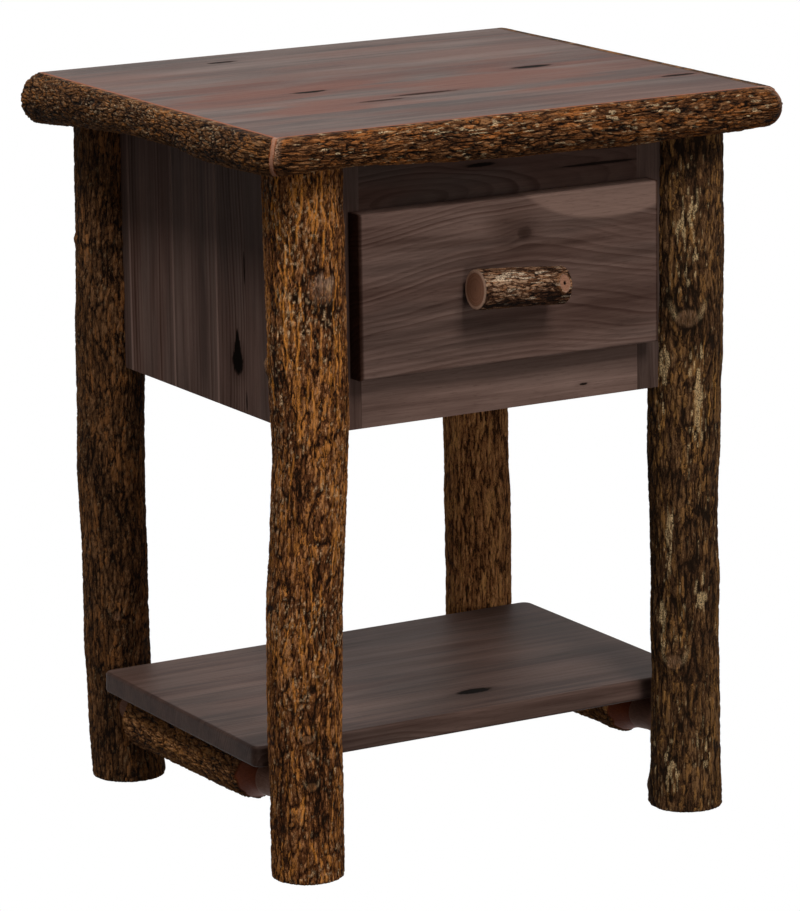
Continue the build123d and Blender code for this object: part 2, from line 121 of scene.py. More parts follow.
def streakMask(around, along, girth, length, spec, seed):
    # random streaks, more of them where the gold patches lie, and the drawn ones of this piece
    dice = np.random.default_rng(seed)
    mask = np.zeros_like(around)
    for n in range(spec["streaks"]):
        turn, share, run, lean, wide, luck = dice.random(6)
        place = spec["goldShare"] + patchMask(np.array([turn]), np.array([share]), spec["gold"])[0]
        half = (8 + 22 * run) / length
        steps = np.linspace(-1, 1, 6)
        turns = turn + (steps * (lean - 0.5) * 5 + dice.normal(0, 0.7, 6)) / girth
        path = np.stack([turns, share + steps * half], axis=1)
        drawStreak(mask, around, along, girth, path, 0.4 + 0.7 * wide, min(1.0, place * (0.5 + luck)))
    for wide, points in spec.get("drawn", []):
        points = np.array(points, float)[::-1]
        heights = np.linspace(points[0, 1], points[-1, 1], 24)
        turns = np.interp(heights, points[:, 1], points[:, 0]) / 360 + dice.normal(0, 0.35, 24) / girth
        path = np.stack([turns, heights / length], axis=1)
        drawStreak(mask, around, along, girth, path, 0.7 * wide, 1.0)
    return mask * (0.65 + 0.70 * cloud(around, along, (round(girth / 2.0), round(length / 5)), seed + 1))


def barkFields(around, along, girth, length, spec, seed):
    # long plates with cracks between them, smaller scales on the plates, and fibres over all
    def cells(across, run):
        return round(girth / across), round(length / run)

    sway = (cloud(around, along, (9, max(4, round(length / 70))), seed) - 0.5) * spec["sway"] / girth
    fine = (cloud(around, along, (40, round(length / 9)), seed + 1) - 0.5) * 2.2 / girth
    turned = around + sway + fine
    slid = along + (cloud(around, along, (30, round(length / 14)), seed + 2) - 0.5) * 9.0 / length
    big = plateGap(turned, slid, cells(*spec["plate"]), seed + 3)
    small = plateGap(turned, slid, cells(*spec["scale"]), seed + 4)
    fibre = cloud(turned, along, cells(1.7, 9), seed + 5)
    grit = cloud(around, along, cells(1.8, 3.4), seed + 6)
    lumps = cloud(around, along, (6, round(length / 45)), seed + 7)
    gold = streakMask(around, along, girth, length, spec, seed + 8)
    relief = 0.38 * ease(big, 0.0, 0.36) + 0.30 * ease(small, 0.0, 0.40) + 0.18 * fibre + 0.14 * grit
    # dim patches darken the relief (negative ones lighten it): darker bark, and on some pieces painted shade
    # or painted highlight
    relief = relief + 0.25 * gold - patchMask(around, along, spec.get("dim", []))
    pale = cloud(around, along, cells(1.7, spec.get("paleRun", 3.2)), seed + 11)
    palePlace = spec["paleShare"] + patchMask(around, along, spec["pale"])
    palePlace = palePlace * (0.3 + 1.4 * cloud(around, along, (8, round(length / 26)), seed + 12))
    pale = ease(pale, 0.98 - palePlace, 1.16 - palePlace)
    return relief, lumps, np.clip(gold, 0, 1), np.clip(pale, 0, 1)


def buildMesh(name, grid, ends, fields):
    # rings of points joined ring to ring, closed at both ends by fans to one point each
    rows, columns = grid.shape[:2]
    points = np.concatenate([grid.reshape(-1, 3), np.array(ends, float)])
    i, j = np.meshgrid(np.arange(rows - 1), np.arange(columns), indexing="ij")
    k = (j + 1) % columns
    quads = [i * columns + j, i * columns + k, (i + 1) * columns + k, (i + 1) * columns + j]
    quads = np.stack(quads, axis=-1).reshape(-1, 4)
    j, last = np.arange(columns), (rows - 1) * columns
    k = (j + 1) % columns
    fans = np.concatenate([np.stack([k, j, np.full(columns, rows * columns)], axis=-1),
                           np.stack([last + j, last + k, np.full(columns, rows * columns + 1)], axis=-1)])
    a, b, c, d = (points[quads[:, n]] for n in range(4))
    if np.einsum("ij,ij->", a, np.cross(b, c) + np.cross(c, d)) < 0:       # volume below zero: inside out
        quads, fans = quads[:, ::-1], fans[:, ::-1]
    mesh = bpy.data.meshes.new(name)
    mesh.from_pydata(points.tolist(), [], quads.tolist() + fans.tolist(), shade_flat=False)
    for key, field in fields.items():
        layer = mesh.attributes.new(key, "FLOAT", "POINT")
        field = np.concatenate([field.ravel(), [field[0].mean(), field[-1].mean()]])
        layer.data.foreach_set("value", field.astype(np.float32))
    mesh.set_sharp_from_angle(angle=np.radians(62))
    mesh.validate()
    return mesh


# shader trees

def paint(red, green, blue):
    # colour as seen on a screen, 0 to 255, made linear
    shares = [c / 255 for c in (red, green, blue)]
    return tuple(s / 12.92 if s < 0.04045 else ((s + 0.055) / 1.055) ** 2.4 for s in shares) + (1.0,)


class Wire:
    # a socket that stands in formulas: + - * / make Math nodes, or Vector Math nodes for vectors and colours
    def __init__(self, socket):
        self.socket = socket

    def __add__(self, other):
        return calc("ADD", self, other)

    def __sub__(self, other):
        return calc("SUBTRACT", self, other)

    def __mul__(self, other):
        return calc("MULTIPLY", self, other)

    def __truediv__(self, other):
        return calc("DIVIDE", self, other)


def firstSocket(*values):
    return next(value.socket for value in values if isinstance(value, Wire))


def treeOf(*values):
    return firstSocket(*values).id_data


def addNode(tree, kind, inputs=None, **settings):
    # a node with its settings and inputs {socket: value or wire}; gives its outputs by number and by name
    node = tree.nodes.new("ShaderNode" + kind)
    for key, value in settings.items():
        setattr(node, key, value)
    for key, value in (inputs or {}).items():
        if isinstance(value, Wire):
            tree.links.new(value.socket, node.inputs[key])
        else:
            node.inputs[key].default_value = value
    return {key: Wire(socket) for n, socket in enumerate(node.outputs) for key in (n, socket.name)}


def calc(operation, *values, clamp=False):
    first, inputs = firstSocket(*values), dict(enumerate(values))
    if first.type == "VALUE":
        return addNode(first.id_data, "Math", inputs, operation=operation, use_clamp=clamp)[0]
    return addNode(first.id_data, "VectorMath", inputs, operation=operation)[0]


def noise(vector, scale, detail=2.0, roughness=0.5):
    inputs = {"Vector": vector, "Scale": scale, "Detail": detail, "Roughness": roughness}
    return addNode(treeOf(vector), "TexNoise", inputs)["Fac"]


def grain(vector, along, across, detail=2.0, roughness=0.5):
    # noise with so many cells to the metre along x, and so many across it
    return noise(vector * (along, across, across), 1.0, detail, roughness)


def spread(value, low, high, outLow=0.0, outHigh=1.0, kind="SMOOTHSTEP"):
    # outLow below low, outHigh above high, and an S curve or a line between
    inputs = dict(enumerate((value, low, high, outLow, outHigh)))
    return addNode(treeOf(value), "MapRange", inputs, interpolation_type=kind)[0]


def mix(factor, first, second, blend="MIX"):
    return addNode(treeOf(factor, first, second), "Mix", {0: factor, 6: first, 7: second}, data_type="RGBA",
                   blend_type=blend, clamp_factor=True)[2]


def together(*values):
    return addNode(treeOf(*values), "CombineXYZ", dict(enumerate(values)))[0]


def objectPlace(tree, order):
    # object coordinates turned so that x runs along the grain: order names the axes for x, y and z
    parts = addNode(tree, "SeparateXYZ", {0: addNode(tree, "TexCoord")["Object"]})
    return together(*(parts[axis.upper()] for axis in order))


def newGroup(name, work, outputs, vectors, colours, values):
    # a shader group with the outputs of work(given); each list is a line of labels
    tree = bpy.data.node_groups.new(name, "ShaderNodeTree")
    for kind, labels in (("Vector", vectors), ("Color", colours), ("Float", values)):
        for label in labels.split():
            tree.interface.new_socket(label, in_out="INPUT", socket_type="NodeSocket" + kind)
    for label in outputs.split():
        kind = "Color" if label == "Color" else "Float"
        tree.interface.new_socket(label, in_out="OUTPUT", socket_type="NodeSocket" + kind)
    given, made = tree.nodes.new("NodeGroupInput").outputs, tree.nodes.new("NodeGroupOutput").inputs
    for label, wire in work({socket.name: Wire(socket) for socket in given if socket.name}).items():
        tree.links.new(wire.socket, made[label])
    return tree


def useGroup(group, **inputs):
    return addNode(treeOf(*inputs.values()), "Group", inputs, node_tree=group)


def newMaterial(name, specular=0.5):
    material = bpy.data.materials.new(name)
    material.use_nodes = True
    shader = material.node_tree.nodes["Principled BSDF"]
    shader.inputs["Specular IOR Level"].default_value = specular
    return material, material.node_tree, shader


def joinSurface(shader, colour, roughness, height, strength, distance):
    tree = shader.id_data
    bump = addNode(tree, "Bump", {"Strength": strength, "Distance": distance, "Height": height})[0]
    for key, wire in (("Base Color", colour), ("Roughness", roughness), ("Normal", bump)):
        tree.links.new(wire.socket, shader.inputs[key])


def dressNode(name, material):
    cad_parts[name].data.materials.clear()
    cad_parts[name].data.materials.append(material)


# board figure: growth rings cut by the board's face, bent round knots, with fibres and pores

def knotWork(given):
    # distance in units of the spot's size; push bends the rings, core is black, and halo shades around it
    flat = (given["Vector"] - given["Centre"]) / given["Size"] * (1.0, 1.0, 0.0)
    distance = addNode(treeOf(flat), "VectorMath", {0: flat}, operation="LENGTH")["Value"]
    ragged = distance + (grain(given["Vector"], 210.0, 420.0, 3.0) - 0.5) * 0.7
    square = distance * distance
    return {"Push": calc("EXPONENT", square * -0.16) * given["Lift"],
            "Core": spread(ragged, 0.75, 1.15, 1.0, 0.0) * given["Dark"],
            "Halo": calc("EXPONENT", square * -0.35) * given["Shade"]}


def boardWork(given):
    # ring phase = (distance from a pith line that wanders and slopes + push) / spacing
    vector, core, halo, light = given["Vector"], given["Core"], given["Halo"], given["Light"]
    wander = (grain(vector, 3.6, 10.8) - 0.5) * given["Wander"]
    ripple = (grain(vector, 13.0, 65.0, 3.0) - 0.5) * 0.0030
    parts = addNode(treeOf(vector), "SeparateXYZ", {0: vector})
    depth = parts["X"] * given["Slope"] + given["Pith"] + (wander + parts["Z"])
    side = wander * 0.6 + parts["Y"]
    phase = (calc("SQRT", depth * depth + side * side) + given["Push"] + ripple) / given["Spacing"]
    ring = calc("FRACT", phase)
    band = noise(together(parts["X"] * 0.6, phase), 0.5, 3.0, 0.6)
    late = spread(ring, 0.15, 0.86) * spread(ring, 0.86, 1.0, 1.0, 0.0) * spread(band, 0.42, 0.66, 0.12, 1.0)
    fibre = grain(vector, 16.0, 620.0, 3.0, 0.6)
    streak = grain(vector, 4.0, 110.0, 3.0, 0.6)
    pore = spread(grain(vector, 90.0, 1500.0, 1.0), 0.60, 0.72)
    mottle = grain(vector, 3.92, 22.4, 3.0, 0.55)
    shade = (band - 0.5) * 1.2 + (mottle - 0.5) * 2.2 + (streak - 0.5) * 1.3
    colour = mix(calc("MULTIPLY_ADD", shade, given["Vary"], 0.5, clamp=True), given["Dark"], light)
    redPart = calc("ADD", spread(grain(vector, 5.6, 25.2), 0.38, 0.62), halo * 0.8, clamp=True)
    colour = mix(redPart * given["Redness"], colour, given["Red"])
    line = late * given["Contrast"] * (given["Sap"] * -0.8 + 1.0)
    colour = mix(given["Sap"] * 0.75, colour, light * (1.42, 1.38, 1.34))
    dim = spread(fibre, 0.35, 0.75) * 0.30
    for share, tint in ((line, (0.36, 0.27, 0.24, 1.0)), (dim, (0.45, 0.40, 0.38, 1.0)),
                        (pore * 0.3, (0.25, 0.20, 0.18, 1.0)), (halo, (0.22, 0.16, 0.13, 1.0))):
        colour = mix(share, colour, tint, "MULTIPLY")
    # Edge: painted highlight, lighter along the boards' long edges
    colour = mix(given["Edge"], colour, light * (1.9, 1.9, 1.9))
    colour = mix(core, colour, (0.006, 0.004, 0.003, 1.0))
    gloss = calc("MULTIPLY_ADD", core, 0.5, fibre * 0.14 + 0.42, clamp=True)
    height = fibre * -0.5 + line * -0.5 + (core * -3.0 + pore * -0.6)
    return {"Color": colour, "Roughness": line * 0.10 + gloss, "Height": height}


knotSpot = newGroup("knotSpot", knotWork, "Push Core Halo", "Vector Centre Size", "", "Lift Dark Shade")
boardFigure = newGroup(
    "boardFigure", boardWork, "Color Roughness Height", "Vector", "Light Dark Red",
    "Push Core Halo Sap Edge Spacing Pith Slope Wander Redness Contrast Vary")

stains = {                                  # light, dark and red
    "brown": (paint(128, 104, 94), paint(80, 62, 55), paint(118, 64, 43)),
    "none": (paint(205, 178, 138), paint(176, 142, 102), paint(190, 140, 100)),
}


def boardMaterial(name, spec, centre=(0.0, 0.0, 0.0), half=(0.0, 0.0)):
    # spots are (along, across, half length, half width, lift, core, halo) from the board's middle
    material, tree, shader = newMaterial(name, spec["specular"])
    centred = objectPlace(tree, spec["order"]) - tuple(centre)
    start = spec["seed"] * 1.37             # where along the log this board was cut
    push, core, halo, sap, edge = 0.0, 0.0, 0.0, 0.0, 0.0
    for along, across, long, wide, lift, dark, shade in spec["spots"]:
        spot = useGroup(knotSpot, Vector=centred, Centre=(along, across, 0), Size=(long, wide, 1), Lift=lift,
                        Dark=dark, Shade=shade)
        push = spot["Push"] + push
        core = calc("MAXIMUM", spot["Core"], core)
        halo = calc("MAXIMUM", spot["Halo"], halo)
    if "sap" in spec:                       # a lens of sapwood: (along, across, half length, half width)
        along, across, long, wide = spec["sap"]
        lens = useGroup(knotSpot, Vector=centred, Centre=(along, across, 0), Size=(long, wide, 1), Lift=0.0,
                        Dark=0.0, Shade=0.5)
        sap = spread(lens["Halo"], 0.345, 0.362)
    sides = addNode(tree, "SeparateXYZ", {0: centred})
    if spec["edges"]:                       # paler along both long edges: painted highlight where the light catches the chamfered joints
        edge = spread(calc("ABSOLUTE", sides["Y"]), half[1] - 0.0030, half[1] - 0.0004) * spec["edges"]
    if spec["ends"]:                        # darker over the last few millimetres at both ends; on the drawer front this is painted shade beside the legs
        fromEnd = spread(calc("ABSOLUTE", sides["X"]), half[0] - 0.0045, half[0] - 0.0015)
        halo = calc("MAXIMUM", fromEnd * spec["ends"], halo)
    light, dark, red = (tuple(c * spec["tone"] for c in tint[:3]) + (1.0,) for tint in stains[spec["stain"]])
    own = {key.capitalize(): spec[key]
           for key in ("spacing", "wander", "slope", "redness", "contrast", "vary")}
    made = useGroup(boardFigure, Vector=centred + (start, spec["side"], 0.0), Push=push, Core=core,
                    Halo=halo, Sap=sap, Edge=edge, Pith=spec["pith"] - spec["slope"] * start, Light=light,
                    Dark=dark, Red=red, **own)
    joinSurface(shader, made["Color"], made["Roughness"], made["Height"], 0.3, 0.0004)
    return material


boardDefaults = dict(
    order="xyz", stain="brown", specular=0.05, tone=1.0, vary=1.0, redness=0.3, contrast=0.4, spacing=0.0034,
    pith=0.05, side=0.12, slope=0.03, wander=0.03, edges=0.0, ends=0.0, spots=[])
topBoard = dict(specular=0.072, vary=1.4, contrast=0.55)
# edges on the side boards: painted highlight along the chamfered joints
leftBoard = dict(order="zyx", specular=0.012, wander=0.012, edges=0.6, vary=1.3)
rightBoard = dict(order="zyx", specular=0.012, edges=0.8)
shelfBoard = dict(vary=1.2, ends=0.7)
plainBoard = dict(stain="none", contrast=0.25)
rightEnd = (0.262, 0.0, 0.045, 0.12, 0.0, 0.0, 0.35)
boards = {
    "top_board_1": dict(topBoard, tone=0.71, redness=0.4, side=0.16, spots=[rightEnd]),
    "top_board_2": dict(topBoard, tone=0.83, slope=-0.03, redness=0.85, side=0.14, spots=[
        rightEnd, (-0.106, 0.058, 0.018, 0.0060, 0.004, 1.0, 0.75),
        (-0.075, -0.026, 0.026, 0.0040, 0.004, 0.6, 0.6), (-0.020, -0.012, 0.034, 0.0045, 0.003, 0.7, 0.6),
        (0.236, -0.055, 0.020, 0.0050, 0.003, 0.9, 0.6), (0.190, -0.034, 0.04, 0.008, 0.0, 0.0, 0.45),
        (-0.17, 0.045, 0.06, 0.009, 0.0, 0.0, 0.4)]),
    "top_board_3": dict(topBoard, tone=0.75, redness=1.0, side=0.18, spots=[
        rightEnd, (0.149, -0.026, 0.022, 0.0065, 0.004, 1.0, 0.85),
        (0.08, 0.008, 0.11, 0.011, 0.0, 0.0, 0.5), (-0.14, 0.020, 0.08, 0.010, 0.0, 0.0, 0.5)]),
    "top_board_4": dict(topBoard, vary=1.3, tone=0.84, redness=0.4, side=0.2, spots=[
        (0.262, 0.0, 0.035, 0.12, 0.0, 0.0, 0.3), (-0.085, 0.066, 0.016, 0.0045, 0.002, 0.9, 0.7),
        (-0.14, 0.064, 0.06, 0.009, 0.0, 0.0, 0.55)]),
    "top_board_5": dict(topBoard, tone=0.69, redness=0.2, side=0.15, spots=[
        (0.11, -0.018, 0.09, 0.009, 0.0, 0.0, 0.5)]),
    "side_left_board_1": dict(leftBoard, vary=1.0, pith=0.035, side=0.0, wander=0.02, redness=0.12,
                              spacing=0.0045, contrast=1.0, spots=[
        (-0.0840, 0.0353, 0.0130, 0.0108, 0.0, 1.0, 0.8), (-0.0740, 0.0353, 0.0145, 0.0066, 0.0, 1.0, 0.6),
        (-0.0660, 0.0353, 0.0130, 0.0034, 0.0, 1.0, 0.5), (-0.070, 0.0353, 0.060, 0.016, 0.016, 0.0, 0.15),
        (0.0075, 0.019, 0.016, 0.0014, 0.0, 0.9, 0.5), (-0.120, 0.019, 0.009, 0.0014, 0.0, 0.9, 0.5)]),
    "side_left_board_2": dict(leftBoard, tone=1.04, side=0.2, redness=0.05, spacing=0.007, contrast=0.75),
    "side_left_board_3": dict(leftBoard, side=0.18, redness=0.15, spacing=0.0065, contrast=0.9),
    "side_left_board_4": dict(leftBoard, vary=1.0, side=0.2, wander=0.015, redness=0.1),
    "side_right_board_1": dict(rightBoard, tone=0.95, pith=0.04, side=0.0, redness=0.2, spacing=0.0045),
    "side_right_board_2": dict(rightBoard, side=0.2, redness=0.1),
    "side_right_board_3": dict(rightBoard, tone=0.93, side=0.16, redness=0.15),
    "side_right_board_4": dict(rightBoard, side=0.2, redness=0.1),
    # the stiles' low tones are painted shade: they sit beside the front legs, in their shadow
    "stile_left": dict(order="zxy", tone=0.66, side=0.15, redness=0.15),
    "stile_right": dict(order="zxy", tone=0.62, side=0.15, redness=0.1),
    # rail_top's low tone is partly a darker board and partly painted shade under the top's overhanging edge
    # log
    "rail_top": dict(order="xzy", tone=0.55, side=0.02, pith=0.03, slope=0.22, wander=0.04, spacing=0.005,
                     contrast=0.75, redness=0.25, spots=[
        (-0.021, 0.005, 0.016, 0.002, 0.004, 0.9, 0.6), (0.11, -0.006, 0.045, 0.0014, 0.002, 0.8, 0.5),
        (0.13, 0.008, 0.02, 0.0012, 0.0, 0.7, 0.4)]),
    "rail_bottom": dict(order="xzy", tone=1.34, side=0.2, redness=0.05, contrast=0.2, spots=[
        (0.0905, -0.017, 0.0045, 0.0012, 0.001, 0.9, 0.4)]),
    "back_panel": dict(order="xzy", tone=0.95, side=0.0, wander=0.06, spacing=0.006, redness=0.2),
    # the drawer front's ends value is painted shade on its end faces, which lie in the front legs' shadow
    "drawer_front": dict(order="xzy", tone=1.12, side=0.13, redness=0.09, contrast=0.85, spacing=0.0050,
                         vary=1.2, ends=0.96, sap=(0.110, 0.112, 0.112, 0.064), spots=[
        (0.010, 0.052, 0.060, 0.038, -0.036, 0.0, 0.10), (0.004, 0.050, 0.020, 0.015, 0.008, 0.0, 0.60),
        (0.014, 0.043, 0.008, 0.0060, -0.006, 0.30, 0.85), (-0.004, 0.056, 0.016, 0.0030, 0.0, 0.0, 0.7),
        (0.020, 0.030, 0.024, 0.0024, 0.0, 0.0, 0.7), (-0.125, 0.0480, 0.060, 0.0026, 0.0, 0.0, 0.5),
        (-0.066, 0.0410, 0.036, 0.0024, 0.0, 0.0, 0.6), (-0.045, 0.0300, 0.030, 0.0020, 0.0, 0.0, 0.45),
        (0.066, 0.0290, 0.030, 0.0024, 0.0, 0.0, 0.6), (0.12, -0.055, 0.024, 0.008, 0.004, 0.0, 0.35),
        (0.145, 0.012, 0.040, 0.0026, 0.0, 0.0, 0.45), (0.13, -0.006, 0.040, 0.0024, 0.0, 0.0, 0.45),
        (0.10, 0.046, 0.070, 0.0030, 0.0, 0.0, 0.35), (0.14, 0.0, 0.07, 0.045, 0.0, 0.0, 0.20),
        (-0.10, 0.02, 0.10, 0.05, 0.0, 0.0, 0.12)]),
    "shelf_board_1": dict(shelfBoard, tone=0.95, side=0.13, redness=0.08, contrast=0.8, spots=[
        (0.025, 0.0034, 0.020, 0.0075, 0.006, 1.0, 0.85), (0.030, 0.0034, 0.075, 0.022, 0.0, 0.0, 0.25)]),
    "shelf_board_2": dict(shelfBoard, tone=0.90, side=0.14, slope=0.05, redness=0.15, contrast=0.6, spots=[
        (0.06, 0.01, 0.06, 0.007, 0.0, 0.0, 0.5)]),
    "shelf_board_3": dict(shelfBoard, tone=0.95, side=0.17, redness=0.1, contrast=0.7),
}
for part in ("slide_block", "top_cleat", "drawer_side"):
    boards[part + "_left"] = boards[part + "_right"] = dict(plainBoard, order="yzx")
boards["drawer_box_front"] = boards["drawer_box_back"] = dict(plainBoard, order="xzy")
boards["drawer_bottom"] = dict(plainBoard, order="yxz", contrast=0.2, tone=1.05)


def dressBoards():
    for number, (name, own) in enumerate(boards.items(), 1):
        spec = dict(boardDefaults, seed=number, **own)
        low, high = np.array(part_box(name))
        axes = ["xyz".index(axis) for axis in spec["order"]]
        centre, half = ((low + high) / 2)[axes], ((high - low) / 2)[axes]
        dressNode(name, boardMaterial("wood_" + name, spec, centre, half))
    stem = dict(boardDefaults, order="yxz", seed=40, contrast=0.3, tone=0.8)
    dressNode("knob_stem", boardMaterial("wood_stem", stem))
    print("boards dressed:", len(boards))


def steelMaterial():
    # zinc plated steel: cloudy spangle and fine rolling lines
    material, tree, shader = newMaterial("zincSteel")
    place = addNode(tree, "TexCoord")["Object"]
    spangle = noise(place, 160.0, 3.0)
    lines = noise(place * (900.0, 30.0, 900.0), 1.0, 2.0)
    colour = mix(spread(spangle, 0.35, 0.65), paint(150, 153, 158), paint(188, 190, 192))
    shader.inputs["Metallic"].default_value = 1.0
    joinSurface(shader, colour, spread(spangle, 0.3, 0.7, 0.28, 0.42), lines, 0.15, 0.0002)
    return material


def dressSteel():
    steel = steelMaterial()
    slides = ("slide_case", "slide_middle", "slide_drawer")
    names = [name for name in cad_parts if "screw" in name or name.startswith(slides)]
    for name in names:
        dressNode(name, steel)
    print("steel dressed:", len(names))


# bark: colour from the relief, gold fissures, pale flecks, grey knots and bare wood where cut or peeled

def barkWork(given):
    # crumbs: small cells, each with its own tone, parted by dark cracks and shaded by the relief of the mesh
    vector, ring, cut = given["Vector"], given["Ring"], given["Cut"]
    tree = treeOf(vector)
    wobble = addNode(tree, "TexNoise", {"Vector": vector, "Scale": 170.0, "Detail": 2.0})["Color"]
    bent = (vector + (wobble - (0.5, 0.5, 0.5)) * (0.010, 0.005, 0.005)) * given["Crumb"]
    cell = addNode(tree, "TexVoronoi", {"Vector": bent, "Scale": 1.0})
    dice = addNode(tree, "SeparateColor", {0: cell["Color"]})
    edge = addNode(tree, "TexVoronoi", {"Vector": bent, "Scale": 1.0}, feature="DISTANCE_TO_EDGE")[0]
    fibre = grain(vector, 130.0, 1100.0, 3.0, 0.6)
    crumb = grain(vector, 600.0, 1300.0, 3.0, 0.65)
    drift = grain(vector, 14.0, 40.0, 3.0)
    gap = spread(edge, 0.0, 0.13)
    tone = given["Relief"] * 1.5 - 0.76
    for part, share in ((crumb, 1.4), (dice[0], 0.6), (fibre, 1.3), (gap, 0.25), (drift, 1.1)):
        tone = (part - 0.5) * share + tone
    colour = mix(spread(tone, -0.40, 0.25), given["Deep"], given["Ground"])
    colour = mix(spread(tone, 0.25, 0.90), colour, given["Ridge"])
    warm = spread(dice[1], 0.45, 0.9) * spread(drift, 0.36, 0.62, 0.25, 1.0) * spread(tone, -0.1, 0.4)
    colour = mix(warm * given["Warmth"], colour, given["Streak"])
    colour = mix(given["Gold"] * spread(crumb, 0.32, 0.54, 0.12, 1.0), colour, given["Streak"])
    colour = mix(given["Pale"] * spread(crumb, 0.40, 0.58), colour, given["Fleck"])
    knotTone = mix(spread(fibre, 0.35, 0.65), paint(70, 48, 36), paint(196, 156, 128))
    colour = mix(given["Knot"], colour, knotTone)
    wood = mix(spread(ring, 0.84, 0.93), given["Wood"], given["Rim"])
    year = spread(noise(together(ring), 16.0, 2.0), 0.35, 0.65, 0.0, 0.35)
    wood = mix(year, wood, (0.06, 0.03, 0.02, 1.0))
    lines = mix(spread(fibre, 0.3, 0.7), (0.74, 0.68, 0.62, 1.0), (1.08, 1.04, 1.0, 1.0))
    colour = mix(cut, colour, mix(1.0, wood, lines, "MULTIPLY"))
    rough = spread(crumb, 0.3, 0.7, 0.62, 0.86, "LINEAR")
    rough = addNode(tree, "Mix", {0: cut, 2: rough, 3: 0.5})[0]
    height = (crumb + (fibre * 0.5 + gap * 0.8)) * (cut * -0.9 + 1.0)
    return {"Color": colour, "Roughness": rough, "Height": height}


barkLayers = newGroup(
    "barkLayers", barkWork, "Color Roughness Height", "Vector Crumb",
    "Deep Ground Ridge Streak Fleck Wood Rim", "Relief Gold Pale Knot Cut Ring Warmth")
barkDefaults = {
    "tones": dict(Fleck=(170, 155, 130), Wood=(128, 84, 54), Rim=(150, 118, 92)),
    "crumb": (165.0, 410.0, 410.0),         # cells per metre along and across
    "warmth": 0.5,
}


def barkMaterial(name, order, spec):
    material, tree, shader = newMaterial(name, 0.04)
    fields = {key.capitalize(): addNode(tree, "Attribute", attribute_name=key)["Fac"]
              for key in ("relief", "gold", "pale", "knot", "cut", "ring")}
    tones = {key: paint(*tone) for key, tone in {**barkDefaults["tones"], **spec["tones"]}.items()}
    crumb, warmth = (spec.get(key, barkDefaults[key]) for key in ("crumb", "warmth"))
    made = useGroup(barkLayers, Vector=objectPlace(tree, order), Crumb=crumb, Warmth=warmth, **fields,
                    **tones)
    joinSurface(shader, made["Color"], made["Roughness"], made["Height"], 0.9, 0.0011)
    return material


def placeBark(node, grid, order, spec, fields, body="case", last=None):
    # a barked piece from its grid of points, in place of its node; last closes it, or the last ring's middle
    ends = [grid[0].mean(axis=0), grid[-1].mean(axis=0) if last is None else last]
    mesh = buildMesh(node + "_bark", grid, ends, fields)
    mesh.materials.append(barkMaterial(node + "Bark", order, spec))
    piece = bpy.data.objects.new(node + "_bark", mesh)
    bpy.context.scene.collection.objects.link(piece)
    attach(piece, body)
    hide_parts(node)


# legs: bark-on poles with a case notch; stations are (height, shift to the right, radius) in mm

